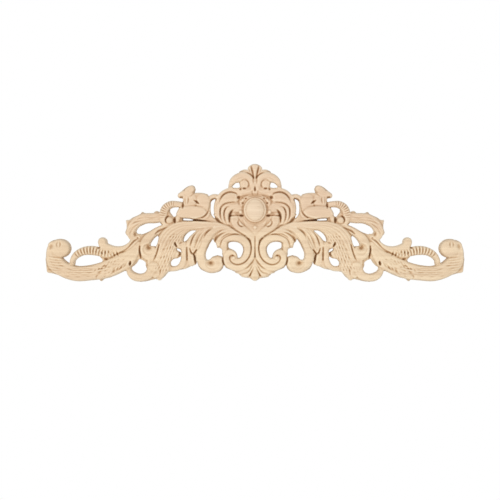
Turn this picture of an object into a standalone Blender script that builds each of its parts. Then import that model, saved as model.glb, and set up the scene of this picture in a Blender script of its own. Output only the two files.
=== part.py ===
"""Carved wood applique: one board, sawn to its outline and carved in relief.

Only the right half is drawn, and mirrored. The drawing's x runs outwards from the middle and
its z up from the centre of the boss, both in millimetres of an ornament 500 mm long; heights
are in millimetres above the flat back of a board 20 mm thick. The model has its origin on the
flat back behind the boss, its length along X, its top along +Z and its carved face to -Y.
"""
import math

import bmesh
import bpy
import numpy as np
from mathutils.kdtree import KDTree

LENGTH = 0.500  # over both wing ends
THICKNESS = 0.020  # from the flat back to the top of the boss
EDGE = 0.0065  # wood left standing at the sawn outline
ROUNDING = 0.0022  # width over which the carving rounds down to the outline
CELL = 0.0010  # spacing of the points where the carving is measured
SANDING = 0.0011  # width over which sanding softens the carving
TRIANGLES = 9400  # of the whole board, after the flat parts are simplified

WOOD_COLOUR = (0.72, 0.53, 0.36, 1.0)
WOOD_ROUGHNESS = 0.55

# The drawing, in its own millimetres
DRAWN_LENGTH = 500.0
DRAWN_THICKNESS = 20.0
DRAWN_TOP = 55.0
DRAWN_BOTTOM = -86.5
GROUND = 12.2  # height of the wood between the bands
SIDE = 13.2  # height of a band at its two sides
FLOOR = 2.5  # no groove or pit goes deeper
CURVE_STEP = 0.6  # spacing of the points along a drawn curve


def smooth_step(low, high, value):
    """0 below low, 1 above high, an S-curve between them."""
    share = np.clip((value - low) / (high - low), 0.0, 1.0)
    return share * share * (3.0 - 2.0 * share)


def dome(across, power=2.6, root=1.6):
    """Section of a rounded band: 1 on the middle line, 0 at the two sides, across = -1 and 1."""
    return np.clip(1.0 - np.abs(across) ** power, 0.0, 1.0) ** (1.0 / root)


def rounded(power=2.6, root=1.6):
    """A plain rounded band. A higher power gives a flatter top."""
    def section(across, along, length):
        return dome(across, power, root)
    return section


def fluted(count, depth, sway=0.0):
    """A band with count ribs along it, parted by valleys that sway a little from side to side."""
    def section(across, along, length):
        swayed = across + sway * np.sin(along / 2.2)
        rib = np.abs(np.sin(np.pi * count * (swayed + 1.0) / 2.0))
        return dome(across) * (1.0 - depth * (1.0 - rib) ** 1.4)
    return section


def ribbed(pitch, depth, first, last):
    """A band with cross ribs, from the share first to the share last of its length."""
    def section(across, along, length):
        rib = np.abs(np.sin(np.pi * (along + 0.5 * np.abs(across)) / pitch))
        share = along / length
        ribs_on = smooth_step(first - 0.03, first + 0.03, share)
        ribs_on = ribs_on * (1.0 - smooth_step(last - 0.03, last + 0.03, share))
        return dome(across) * (1.0 - depth * ribs_on * (1.0 - rib) ** 1.3)
    return section


def smooth_curve(knots, closed=False):
    """Points along a smooth curve through the knots; every column of the knots is blended."""
    rows = np.array(knots, float)
    if closed:
        rows = np.vstack([rows[-1], rows, rows[0], rows[1]])
    else:
        rows = np.vstack([2.0 * rows[0] - rows[1], rows, 2.0 * rows[-1] - rows[-2]])
    points = []
    for p0, p1, p2, p3 in zip(rows, rows[1:], rows[2:], rows[3:]):
        gaps = [max(math.dist(a[:2], b[:2]), 1e-6) ** 0.5 for a, b in ((p0, p1), (p1, p2), (p2, p3))]
        t0, t1 = 0.0, gaps[0]
        t2, t3 = t1 + gaps[1], t1 + gaps[1] + gaps[2]
        steps = max(2, math.ceil(gaps[1] ** 2 / CURVE_STEP))
        t = np.linspace(t1, t2, steps, endpoint=False)[:, None]
        a1 = (t1 - t) / (t1 - t0) * p0 + (t - t0) / (t1 - t0) * p1
        a2 = (t2 - t) / (t2 - t1) * p1 + (t - t1) / (t2 - t1) * p2
        a3 = (t3 - t) / (t3 - t2) * p2 + (t - t2) / (t3 - t2) * p3
        b1 = (t2 - t) / (t2 - t0) * a1 + (t - t0) / (t2 - t0) * a2
        b2 = (t3 - t) / (t3 - t1) * a2 + (t - t1) / (t3 - t1) * a3
        points.append((t2 - t) / (t2 - t1) * b1 + (t - t1) / (t2 - t1) * b2)
    if not closed:
        points.append(rows[-2][None])
    return np.vstack(points)


def nearest(places, curve):
    """For each place, the number of the nearest curve point and the distance to it."""
    number = np.zeros(len(places), int)
    distance = np.zeros(len(places))
    for start in range(0, len(places), 20000):
        part = places[start:start + 20000]
        square = ((part[:, None, :] - curve[None, :, :2]) ** 2).sum(axis=2)
        number[start:start + 20000] = square.argmin(axis=1)
        distance[start:start + 20000] = np.sqrt(square.min(axis=1))
    return number, distance


class Carving:
    """Height of the carved face over the right half of the board, on a grid of cells.

    x runs outwards from the middle and z up from the centre of the boss, both in drawn
    millimetres. height is measured from the flat back. inside is the distance to the
    outline, positive on the wood. cut is the depth of the grooves and pits, which are taken
    out when all bands stand.
    """

    def __init__(self, cell):
        self.cell = cell
        self.x = np.arange(0.0, DRAWN_LENGTH / 2.0 + 2.0, cell)
        self.z = np.arange(DRAWN_BOTTOM - 2.0, DRAWN_TOP + 2.0, cell)
        self.grid_x, self.grid_z = np.meshgrid(self.x, self.z)
        self.height = np.zeros_like(self.grid_x)
        self.inside = np.full_like(self.grid_x, -9.0)
        self.cut = np.zeros_like(self.grid_x)

    def window(self, points, margin):
        """The part of the grid that holds the points and a margin round them."""
        low = points[:, :2].min(axis=0) - margin
        high = points[:, :2].max(axis=0) + margin
        first, last = np.searchsorted(self.x, (low[0], high[0]))
        bottom, top = np.searchsorted(self.z, (low[1], high[1]))
        return slice(bottom, top + 1), slice(first, last + 1)

    def follow(self, knots, margin):
        """Measures the grid against a stroke: way along it, distance across, further columns."""
        curve = smooth_curve(knots)
        window = self.window(curve, margin)
        grid_x, grid_z = self.grid_x[window], self.grid_z[window]
        places = np.stack([grid_x.ravel(), grid_z.ravel()], axis=1)
        number, _ = nearest(places, curve)
        tangent = np.gradient(curve[:, :2], axis=0)
        tangent = tangent / np.linalg.norm(tangent, axis=1)[:, None]
        way = np.concatenate([[0.0], np.linalg.norm(np.diff(curve[:, :2], axis=0), axis=1).cumsum()])
        offset = places - curve[number, :2]
        direction = tangent[number]
        along = way[number] + (offset * direction).sum(axis=1)
        across = direction[:, 0] * offset[:, 1] - direction[:, 1] * offset[:, 0]
        past_end = np.clip(-along, 0.0, None) + np.clip(along - way[-1], 0.0, None)
        across = np.where(across < 0.0, -1.0, 1.0) * np.hypot(across, past_end)
        along = np.clip(along, 0.0, way[-1])
        columns = [np.interp(along, way, column).reshape(grid_x.shape) for column in curve[:, 2:].T]
        return window, along.reshape(grid_x.shape), way[-1], across.reshape(grid_x.shape), columns

    def band(self, knots, section=rounded(), side=SIDE):
        """A raised band. Its knots are rows of x, z, half width and height of the crest."""
        margin = max(row[2] for row in knots) + 1.0
        window, along, length, across, (half_width, crest) = self.follow(knots, margin)
        half_width = np.maximum(half_width, 0.01)
        share = across / half_width
        foot = np.minimum(side, crest)
        body = foot + (crest - foot) * section(np.clip(share, -1.0, 1.0), along, length)
        body = np.where(np.abs(share) <= 1.0, body, 0.0)
        self.height[window] = np.maximum(self.height[window], body)
        self.inside[window] = np.maximum(self.inside[window], half_width - np.abs(across))

    def bead(self, x, z, half_width, half_height, top, foot, power=2.0, root=2.0):
        """A rounded boss, which replaces what lies under it."""
        ends = np.array([(x - half_width, z - half_height), (x + half_width, z + half_height)])
        window = self.window(ends, 1.0)
        share = np.hypot((self.grid_x[window] - x) / half_width, (self.grid_z[window] - z) / half_height)
        body = foot + (top - foot) * dome(np.clip(share, 0.0, 1.0), power, root)
        self.height[window] = np.where(share <= 1.0, body, self.height[window])
        self.inside[window] = np.maximum(self.inside[window], (1.0 - share) * min(half_width, half_height))

    def groove(self, knots, depth, half_width):
        """A cut with a V-shaped section. Its knots are rows of x, z and share of the full cut."""
        window, _, _, across, (share,) = self.follow(knots, 2.0 * half_width)
        share = np.clip(share, 0.02, 2.0)
        slope = np.clip(1.0 - np.abs(across) / (half_width * share), 0.0, 1.0)
        self.cut[window] += depth * share * slope ** 1.3

    def pit(self, x, z, half_width, half_height, depth, turn=0.0):
        """A dished cut, turned anticlockwise by so many degrees."""
        reach = max(half_width, half_height)
        window = self.window(np.array([(x - reach, z - reach), (x + reach, z + reach)]), 0.0)
        cosine, sine = math.cos(math.radians(turn)), math.sin(math.radians(turn))
        off_x, off_z = self.grid_x[window] - x, self.grid_z[window] - z
        long_way = off_x * cosine + off_z * sine
        short_way = off_z * cosine - off_x * sine
        share = np.hypot(long_way / half_width, short_way / half_height)
        self.cut[window] += depth * np.clip(1.0 - share ** 2, 0.0, 1.0) ** 1.5

    def region(self, knots):
        """Distance to a smooth closed outline, positive inside it."""
        curve = smooth_curve(knots, closed=True)
        window = self.window(curve, 4.0)
        grid_x, grid_z = self.grid_x[window], self.grid_z[window]
        _, distance = nearest(np.stack([grid_x.ravel(), grid_z.ravel()], axis=1), curve)
        within = np.zeros(grid_x.shape, bool)
        for (x0, z0), (x1, z1) in zip(curve, np.roll(curve, -1, axis=0)):
            if z0 != z1:
                level = (grid_z >= min(z0, z1)) & (grid_z < max(z0, z1))
                within ^= level & (grid_x < x0 + (grid_z - z0) * (x1 - x0) / (z1 - z0))
        return window, np.where(within, 1.0, -1.0) * distance.reshape(grid_x.shape)

    def plate(self, knots, height=GROUND):
        """Wood left at one height inside a closed outline."""
        window, distance = self.region(knots)
        raised = np.where(distance > 0.0, np.maximum(self.height[window], height), self.height[window])
        self.height[window] = raised
        self.inside[window] = np.maximum(self.inside[window], distance)

    def opening(self, knots):
        """A hole right through the board inside a closed outline."""
        window, distance = self.region(knots)
        self.inside[window] = np.minimum(self.inside[window], -distance)

    def slit(self, knots):
        """A narrow hole right through the board. Its knots are rows of x, z and half width."""
        window, _, _, across, (half_width,) = self.follow(knots, 3.0)
        self.inside[window] = np.minimum(self.inside[window], np.abs(across) - half_width)

    def sand(self, passes):
        """Takes out the cuts, then softens the carving by averaging neighbours on the wood."""
        self.height = np.maximum(self.height - self.cut, np.minimum(self.height, FLOOR))
        wood = (self.inside > 0.0).astype(float)
        for _ in range(passes):
            total = self.height * wood
            weight = wood
            for axis in (0, 1):
                total = total + 0.5 * (np.roll(total, 1, axis) + np.roll(total, -1, axis))
                weight = weight + 0.5 * (np.roll(weight, 1, axis) + np.roll(weight, -1, axis))
            self.height = np.where(wood > 0.0, total / np.maximum(weight, 1e-9), 0.0)


def boss(wood):
    """Smooth oval dome in a stepped ring."""
    wood.bead(0.0, 0.0, 14.0, 15.2, top=14.0, foot=12.0, power=14.0, root=1.0)
    wood.bead(0.0, 0.0, 13.2, 14.6, top=16.2, foot=14.2, power=8.0)
    wood.bead(0.0, 0.0, 11.6, 13.4, top=15.2, foot=14.8, power=8.0)
    wood.bead(0.0, 0.0, 10.9, 12.8, top=20.0, foot=15.4, power=2.6, root=1.7)


def cartouche(wood):
    """Crescents round the boss, the hooked stem below them and the brow above the boss."""
    wood.plate([(-8, 24), (8, 24), (20, 25), (30, 25.6), (37, 23.5), (43, 17.5), (47, 9), (48.6, 0),
                (47, -9), (42, -16), (30, -21), (14, -31), (-6, -36)])
    wood.band([(-2, 18.6, 5.0, 13.2), (10, 18.8, 4.8, 13.2), (20, 22.6, 3.6, 13.2), (29, 24, 2.9, 13.2),
               (37.4, 20.2, 3.4, 13.2), (43, 14.2, 3.0, 13.2), (46, 6.5, 2.8, 13.2),
               (46.6, -1, 2.5, 13.2), (45, -8, 2.2, 12.6), (41.8, -14.5, 1.4, 12)])
    wood.band([(24, 14.8, 5.2, 14.4), (29, 14.9, 5.6, 15.4), (35.5, 12.6, 5.2, 15.4),
               (41.2, 7, 3.8, 14.7), (43.6, 0.5, 2.2, 13.6), (43.4, -6, 1.8, 13),
               (41, -13, 1.2, 12)], rounded(3.0, 1.7))
    wood.band([(20, 8.2, 1.2, 11.8), (26, 7.4, 1.7, 12.8), (33, 6.0, 2.3, 13.7), (37.8, 2, 2.4, 14.1),
               (39.2, -4, 2.2, 13.8), (38.4, -10, 1.9, 13.2), (35.8, -16, 1.0, 12)])
    wood.band([(16.5, 5, 1.8, 12.2), (24, 4.2, 2.7, 13.2), (30.6, 1.6, 3, 14.1), (34, -4, 2.6, 14.1),
               (33.7, -10.5, 2.2, 13.6), (31.5, -17, 1.2, 12.5)])
    wood.band([(15.5, 0.6, 1.6, 12.5), (20, 0.6, 2.2, 13), (24.6, -2.5, 2.0, 13),
               (26.5, -6.5, 1.5, 12.5)])
    wood.band([(24.3, -9.4, 4.0, 13.6), (23.6, -14, 4.8, 14.6), (18.8, -20, 5.0, 15.2),
               (12, -25, 4.7, 15.2), (5.5, -30, 4.2, 15.2), (0, -36.5, 3.4, 14.2)], rounded(3.0, 1.7))
    wood.band([(0, -12, 14, 12.8), (0, -18, 11.5, 13.6), (0, -24, 8, 14.4),
               (0, -31, 3, 14.4)], rounded(2.0, 1.4))
    wood.bead(17.2, -2.4, 2.5, 2.5, top=15.0, foot=11.4)
    wood.bead(0.0, -20.8, 2.4, 2.4, top=16.4, foot=13.6)
    wood.bead(14.8, 12.0, 2.0, 2.0, top=13.2, foot=10.5)
    wood.bead(15.8, 5.2, 1.5, 1.5, top=12.8, foot=10.5)
    wood.groove([(20.6, 16.6, 0.7), (22, 19.4, 0.8), (25.6, 21.0, 0.8), (31, 21.4, 0.9), (36.4, 19, 1),
                 (40.2, 14.6, 1), (43.4, 8, 0.5)], 3.0, 1.5)
    wood.groove([(24, 9.6, 0.4), (31, 9.0, 0.7), (36.5, 7.2, 1), (40.6, 3, 1), (41.5, -3, 1),
                 (40.6, -9.5, 0.8), (38.2, -15, 0.3)], 3.0, 1.5)
    wood.groove([(29, 4.4, 0.3), (33.6, 3.4, 0.8), (36.2, -0.6, 1), (36.8, -6, 1), (35.8, -11.5, 0.8),
                 (33.6, -16, 0.3)], 2.6, 1.4)
    wood.groove([(26.4, 0.6, 0.4), (29.2, -3.6, 1.1), (30.5, -8.4, 1.1), (30.5, -14.6, 0.5)], 4.6, 1.8)
    wood.groove([(14.4, -6.6, 1), (18, -6.3, 0.9), (23, -6.2, 0.9), (29.6, -6.8, 1.2)], 3.8, 1.4)
    wood.groove([(17, -4.6, 0.5), (22, -3.6, 1), (27, -3.2, 1), (29.4, -5.8, 0.6)], 2.2, 3.4)
    wood.groove([(0, 17.0, 0.8), (6, 16.2, 0.9), (10.6, 13.6, 1), (13.6, 9, 1), (15.0, 3, 0.9),
                 (15.2, -3, 0.8), (13.6, -9, 0.7), (8.4, -14.8, 0.6), (0, -17.0, 0.5)], 1.3, 1.1)
    wood.groove([(47.5, -8.5, 1.4), (44.5, -11.8, 1.8), (41.5, -14.6, 1.2), (36, -17.3, 0.8),
                 (30.6, -18.8, 1), (26, -22.0, 1), (20, -26.0, 0.9), (12, -30.8, 0.8)], 3.4, 1.5)
    wood.groove([(0, 18.4, 1), (7, 18.0, 1), (14, 16.8, 0.9), (18.6, 15.6, 0.5)], 2.4, 3.6)
    wood.groove([(9, 17.4, 0.4), (15, 14.8, 1), (19.4, 11.4, 1), (18.6, 6.4, 0.5)], 2.4, 3.4)
    wood.pit(10.9, 14.1, 1.8, 1.3, 3.0)
    wood.pit(14.8, 8.4, 1.8, 1.3, 3.0)
    wood.pit(19.8, 15.0, 2.5, 2.6, 5.6)
    wood.pit(16.2, -6.8, 2.8, 2.0, 3.0)
    wood.groove([(18.6, -11.0, 0.4), (20.2, -14.4, 1), (18.8, -18.0, 1), (15.4, -19.6, 1),
                 (12.6, -18.4, 0.4)], 3.2, 1.4)


def palmette(wood):
    """Top leaf: a fluted crest over two leaves that arch outwards round a small volute."""
    wood.plate([(-6, 20), (10, 20), (20, 22), (21, 28), (18, 34), (12, 44), (8, 47), (5, 51), (0, 53),
                (-5, 51)])
    wood.bead(0.0, 47.4, 8.9, 7.8, top=13.4, foot=10.5, power=3.0)
    wood.band([(0, 37, 1.6, 13), (0, 45, 2.4, 14), (0, 52.0, 2.6, 13.4)])
    wood.band([(5.5, 46, 1.2, 12.5), (7, 49.6, 1.6, 13), (6, 52, 1.2, 12.2)])
    wood.band([(3.4, 41, 1.5, 12.5), (8, 45.5, 2.3, 13.4), (13, 46.5, 2.0, 13), (17.4, 45.0, 1.5, 12)])
    wood.band([(1.5, 20, 2.2, 12.8), (2.4, 28, 3.3, 14), (5.6, 35.2, 4.7, 15.2),
               (11.8, 39.7, 5.3, 15.8), (19, 39.0, 5.4, 15.4), (25.6, 34.6, 4.7, 14.4),
               (29.0, 29.2, 2.8, 13), (29.8, 25.6, 2.2, 12)], rounded(3.0, 1.7))
    wood.band([(4.5, 22, 1.8, 12.6), (10, 22.6, 1.8, 12.6), (16, 23.0, 1.4, 12.2)])
    wood.plate([(5, 24), (11, 23), (18.4, 25), (18.6, 31), (18.4, 34), (12, 37), (7, 34)], 12.8)
    wood.bead(12.8, 31.0, 5.6, 5.0, top=15.0, foot=13.2, power=2.4)
    wood.groove([(1.4, 38.4, 0.8), (2.8, 44.5, 1), (4.0, 49.5, 1), (4.6, 52.6, 0.6)], 3.6, 1.9)
    wood.groove([(4.8, 43.4, 0.5), (6.6, 47, 1), (7.2, 50.6, 0.5)], 2.0, 1.2)
    wood.groove([(2.6, 39.5, 1.1), (4.6, 41.8, 1), (9, 44.2, 0.8), (15.5, 44.9, 0.3)], 2.8, 1.5)
    wood.groove([(2.1, 38.2, 1), (2.1, 34.6, 1), (1.7, 30.6, 0.4)], 2.8, 1.2)
    wood.groove([(0, 28.6, 0.3), (0, 26.4, 1), (0, 24.2, 1.3), (0, 22.4, 0.7)], 3.4, 1.5)
    wood.groove([(2.0, 24.4, 0.4), (4.2, 21.8, 1), (7.0, 20.4, 0.4)], 1.6, 1.1)
    wood.groove([(4.5, 30, 0.3), (8, 36, 0.8), (14, 38.4, 0.9), (20, 37.0, 0.8),
                 (25.5, 33, 0.3)], 0.9, 1.8)
    wood.groove([(17.8, 33.8, 0.5), (13.6, 36.6, 0.9), (9.2, 35.2, 1), (7.2, 31, 1),
                 (8.6, 27.2, 0.8)], 2.0, 1.2)
    wood.groove([(1.6, 23.0, 0.6), (3.4, 20.4, 1), (2.6, 17.8, 0.5)], 1.8, 1.2)
    wood.pit(12.6, 25.9, 3.0, 1.5, 3.0)
    wood.pit(17.3, 25.0, 1.7, 2.0, 3.0)


def c_scroll(wood):
    """The large inward scroll below the boss, with its curl and the leaf that laps over it."""
    wood.plate([(-4, -30), (8, -32), (24, -24), (36, -20), (44, -22), (50, -30), (49, -37), (44, -42),
                (42, -46), (38, -50), (39, -58), (36, -67), (28, -71), (14, -70), (-4, -60)])
    wood.band([(37.2, -40, 4.0, 14.0), (36.8, -46.5, 3.8, 14.2),
               (36.0, -53, 3.0, 14.2)], rounded(3.0, 1.7))
    wood.band([(0, -27, 2.8, 14), (2.2, -36, 2.8, 15.2), (2.0, -44, 2.5, 15.2), (2.4, -52, 2.9, 15.2),
               (6.4, -60.6, 3.3, 15.2), (13, -66.8, 3.7, 15.2), (21, -69, 4.0, 15.2),
               (28.6, -66.4, 4.3, 15.4), (33.4, -61, 4.2, 15.6), (34.2, -55.4, 4.0, 15.6),
               (31, -50.8, 3.8, 15.4), (26.2, -50.0, 3.6, 15.2), (22.8, -53.2, 2.8, 15),
               (22.2, -57.4, 1.6, 14.4)], rounded(3.0, 1.7))
    wood.band([(8, -31.5, 1.8, 13.2), (16, -27.6, 2.9, 14.2), (25, -25.2, 3.4, 14.7),
               (34, -25.4, 3.3, 14.7), (41, -30, 3.1, 14.2), (44.4, -37, 2.6, 13.6),
               (44.2, -44.0, 1.2, 12)], rounded(3.0, 1.7))
    wood.band([(40.5, -44, 1.4, 12.8), (38.8, -39, 3.4, 14.2), (33, -34.0, 4.2, 15.2),
               (24, -33.0, 4.6, 15.8), (15, -36, 4.9, 15.8), (9.8, -42, 4.7, 15.8),
               (9.2, -49, 4.5, 15.8), (11.8, -55.6, 4.3, 15.8), (17, -60.2, 4.3, 15.8),
               (23, -61, 3.9, 15.3), (27.6, -58.8, 2.8, 14.8),
               (28.4, -55.4, 1.8, 13.8)], rounded(3.0, 1.7))
    wood.bead(25.4, -57.2, 2.4, 2.4, top=16.0, foot=13.6)
    wood.groove([(12, -30.4, 0.8), (6.8, -35.6, 1), (4.7, -42, 1), (4.7, -48, 1), (6.3, -54.6, 1),
                 (10, -60, 1), (15, -63.4, 1), (21, -64.9, 0.9), (26.5, -63.2, 0.9), (29.6, -59.6, 0.9),
                 (29.8, -55.8, 0.9), (27.0, -53.9, 0.7), (24.2, -54.8, 0.6),
                 (23.2, -57.6, 0.4)], 2.4, 1.0)
    wood.groove([(14, -30, 0.2), (20, -29, 0.9), (27, -29.2, 1), (34, -31.6, 1), (38.6, -35, 1),
                 (40.8, -39.6, 1), (41.6, -44, 0.4)], 3.0, 1.1)
    wood.groove([(0, -31, 0.5), (0, -35, 0.8), (0, -41, 0.7), (0, -47, 0.9), (0, -52, 1.3),
                 (0, -55.6, 0.9)], 2.2, 1.1)
    wood.groove([(37.6, -55, 0.3), (38.3, -60, 1), (36.6, -66.5, 0.9)], 7.0, 1.4)
    wood.groove([(34, -26.2, 0.3), (40, -28.4, 0.8), (44.6, -31.8, 1), (48.0, -36.6, 1.2)], 4.2, 2.3)


def second_scroll(wood):
    """The smooth outward scroll beside the large one."""
    wood.plate([(36, -21), (50, -21), (60, -25), (66, -36), (70, -48), (70, -58), (66, -69), (58, -74),
                (50, -75), (42, -73), (38, -68), (38, -57), (44, -54), (52, -54), (56, -46), (50, -34)])
    wood.band([(26, -21.4, 1.8, 13.2), (38, -20.6, 2.8, 13.8), (48, -24, 4.0, 14.8),
               (56, -31.6, 5.2, 15.6), (61.8, -41.5, 5.6, 16), (64, -52, 6.0, 16), (61.6, -62, 6.8, 16),
               (54, -68, 7.0, 16), (46.4, -66.6, 7.2, 15.7), (44.4, -60.6, 6.4, 15.3),
               (48, -58.4, 4.0, 14.2)])
    wood.bead(50.4, -63.6, 8.6, 7.6, top=15.4, foot=15.0)
    wood.pit(52.6, -63.0, 6.0, 5.0, 3.0, 20.0)
    wood.pit(52.6, -63.0, 2.4, 2.0, 1.8, 20.0)


def fronds(wood):
    """Acanthus lobes under the stem and the leaf that hangs below them."""
    wood.plate([(48, -18), (66, -20), (80, -22), (90, -30), (98, -42), (102, -56), (106, -70),
                (104, -73.2), (92, -71.8), (82, -69.6), (76, -66.8), (70.4, -64.4), (69, -56),
                (66, -44), (60, -32)])
    wood.band([(50, -19.6, 2.2, 13.2), (58, -23, 3.0, 14.2), (64.8, -31, 3.2, 14.7),
               (68, -40, 3.0, 14.2), (71.4, -48, 2.0, 12.8)])
    wood.band([(60, -21.6, 2.4, 13.2), (66.8, -26, 3.2, 14.2), (71.2, -33, 3.1, 14.6),
               (73.2, -41, 2.9, 14), (76.4, -47, 1.8, 12.8)])
    wood.band([(68, -22.4, 2.2, 13.2), (73, -28, 2.5, 13.8), (77.2, -34.6, 2.7, 14),
               (79.4, -41.5, 2.6, 13.6), (79.6, -48, 2.2, 12.8)])
    wood.band([(76.4, -51, 3.4, 13), (76.0, -58, 4.0, 14), (75.6, -64, 3.0, 13)], rounded(3.0, 1.7))
    wood.band([(85.2, -39, 2.8, 13.2), (84.6, -47, 3.1, 14.2), (84.8, -57, 3.4, 14.2),
               (87.6, -65.4, 3.7, 14.2), (94, -69.5, 3.2, 13.8),
               (102, -70.2, 3.0, 13.2)], rounded(3.0, 1.7))
    wood.band([(79.5, -62, 2.2, 12.8), (84, -68, 2.4, 12.8)])
    wood.groove([(50, -21.5, 0.5), (55, -24.6, 1), (58.6, -28.4, 1), (61.2, -33.4, 0.5)], 3.0, 1.4)
    wood.groove([(60.4, -24, 0.4), (65.4, -29.4, 0.9), (69.2, -37, 1), (72.0, -44.6, 0.6)], 2.2, 1.2)
    wood.groove([(66.2, -23.4, 0.4), (71.6, -29, 0.9), (75.2, -36, 1), (77.2, -42.6, 0.6)], 2.2, 1.2)
    wood.groove([(63, -35.4, 0.5), (64.2, -40, 0.8), (67, -45.6, 0.8), (70, -48.6, 1)], 2.0, 1.3)
    wood.groove([(69.4, -47, 0.5), (72, -50.6, 1), (74, -52.2, 1), (76, -50.4, 1),
                 (77.8, -45.6, 0.6)], 4.6, 1.5)
    wood.groove([(73, -52.6, 0.8), (72, -56, 1.1), (71.4, -60, 1.1), (70.2, -65, 0.9)], 8.0, 1.4)
    wood.groove([(81.2, -44.6, 0.8), (81.4, -52, 1), (81.0, -59.5, 0.6)], 3.2, 1.5)


def stem_leaf(wood):
    """The long stem along the wing, which spreads into the big hanging leaf."""
    wood.plate([(70, -14), (92, -16), (104, -18), (114, -24), (116, -32), (118, -44), (122, -58),
                (124, -70), (122, -80), (115, -83), (110, -81), (104, -74), (100, -66), (98, -58),
                (90, -48), (86, -36), (80, -26), (70, -22)])
    wood.band([(27, -20.4, 1.2, 12.8), (40, -18.2, 2.4, 13.8), (55, -17.4, 3.9, 15.2),
               (72, -17.8, 4.9, 15.8), (88, -19.6, 5.9, 16.2), (99, -25, 7.5, 16.4),
               (107, -34.6, 8, 16.4), (112, -46, 6.6, 15.8), (116.5, -58, 4.5, 14.8)], fluted(4, 0.3))
    wood.band([(70, -20, 3.2, 14.2), (86, -24.5, 5.6, 15.4), (96, -35, 8.2, 16.4),
               (102, -48, 8.2, 16.4), (107, -61, 9, 16), (112.5, -73, 8, 14.8),
               (114, -81, 3, 12.8)], fluted(6, 0.6, 0.03))
    wood.band([(85, -32, 2.2, 13.2), (88, -37.4, 3.3, 14), (93.5, -39.5, 3, 14.4)])
    wood.band([(86.5, -44.2, 2.2, 13.2), (91, -43, 2.3, 14), (95, -42, 2, 14.4)])
    wood.band([(96.5, -44, 2.8, 14.4), (94, -50, 3.6, 14), (96, -55.6, 3, 14)])
    wood.groove([(112, -69, 0.6), (112.6, -73, 1), (113.4, -77.5, 0.5)], 2.0, 1.3)
    wood.groove([(106.4, -57, 0.4), (107.4, -62, 0.8), (106.6, -67, 0.4)], 0.9, 1.2)
    wood.groove([(104, -20.4, 0.4), (110.5, -23, 1), (115, -25.2, 1.2), (118.4, -28.4, 0.8)], 3.4, 1.7)
    wood.groove([(114.2, -41, 0.9), (115.4, -46, 1.1), (117, -51.6, 1), (119.4, -57.4, 0.8),
                 (121, -60, 0.4)], 3.2, 1.5)
    wood.groove([(95.4, -38.4, 0.8), (94.8, -41, 1.4), (93.0, -44.0, 0.7)], 6.0, 1.3)
    wood.groove([(85.4, -37.8, 0.5), (88.4, -39.2, 1), (91, -40, 0.4)], 2.4, 1.2)
    wood.groove([(90.4, -49.6, 0.8), (89.4, -52.4, 1.2), (90.6, -55.0, 0.8)], 4.6, 1.4)


def flower(wood):
    """A half-open bloom seen from the side, with a curled petal at its top corner."""
    wood.plate([(45, 18.6), (50, 19.2), (54, 17), (58, 18.6), (62, 20.2), (67, 20.9), (71.8, 20.9),
                (71, 25), (73, 29), (77.6, 29.4), (83, 26.6), (88, 22.2), (92, 19), (91.4, 15),
                (88, 14.2), (85.9, 13), (85.6, 9.6), (90, 6), (91.4, 0), (93.4, -5), (95.6, -8.6),
                (98, -12), (96, -16), (80, -17), (56, -17), (42, -18), (40, -14), (46, -8), (53, 2),
                (52.4, 10), (49, 13), (46, 13)])
    wood.band([(44, 16.6, 2, 12.2), (49, 16.8, 2.6, 13), (54, 14.6, 2.6, 13)])
    wood.bead(62.4, 9.0, 9.0, 11.5, top=15.0, foot=12.4, power=3.0)
    wood.bead(77.6, 11.0, 8.6, 11.0, top=15.0, foot=12.4, power=3.0)
    wood.band([(58, 17.2, 2.2, 12.8), (65, 18.4, 2.4, 13.4), (72, 18.2, 2.4, 13.4)])
    wood.band([(82, 15, 4, 14.2), (80, 21.4, 4.4, 14.8), (76, 25.4, 4.2, 15.0)], rounded(3.0, 1.7))
    wood.band([(80, 18, 4, 14.2), (86.2, 19.4, 3.5, 14.6), (89.8, 17.4, 2.7, 14.4)], rounded(3.0, 1.7))
    wood.band([(56, 12, 2.4, 13.2), (55.2, 3, 2.6, 13.8), (56.6, -4.4, 2.8, 13.6), (62, -10, 2.2, 12.4)])
    wood.bead(76.4, -2.8, 18.6, 7.6, top=16.6, foot=14.8, power=2.6)
    wood.band([(84.6, 1, 2.6, 14), (89.2, -4, 3.0, 15.0), (91.8, -10, 2.6, 14.2), (92.6, -15, 1.8, 13.0)])
    wood.groove([(66.8, 7.4, 0.6), (69, 9.4, 1.2), (72.6, 11.8, 0.6)], 4.4, 1.5)
    wood.groove([(53.6, 9, 0.4), (54.4, 3, 0.8), (56.2, -2.4, 1), (59.2, -6.2, 1),
                 (63.4, -9.2, 0.7)], 2.6, 1.2)
    wood.groove([(72, 20.6, 0.8), (74.8, 18, 0.9), (78.4, 15.8, 0.5)], 1.8, 1.2)
    wood.groove([(85.6, 10, 0.9), (85.8, 6, 1.2), (86, 2.4, 0.9)], 3.6, 1.4)
    wood.groove([(61.4, 3.6, 0.6), (66, 4.8, 0.8), (75, 5.2, 0.6), (84, 4, 0.4)], 1.0, 1.4)
    wood.groove([(47.6, 12.6, 1.4), (50.4, 12, 1.4), (52.6, 8, 0.6)], 5.0, 1.8)
    wood.groove([(50, -14.8, 0.3), (56, -13.4, 0.4), (61, -12.8, 0.8), (68, -12.2, 1.1),
                 (75, -11.8, 1.2), (86, -11, 0.8)], 9.0, 1.3)
    wood.groove([(95.6, -8.6, 0.7), (95.8, -12, 1.1), (95.4, -15.4, 0.5)], 6.0, 2.2)
    wood.groove([(79.6, 16.4, 0.4), (79.2, 12, 1), (80.4, 7.4, 0.6)], 2.4, 1.1)
    wood.groove([(83, 15.6, 0.4), (83.4, 11, 1), (82.8, 6.4, 0.5)], 2.4, 1.1)
    wood.pit(88.2, 15.2, 2.6, 1.7, 3.5)


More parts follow.
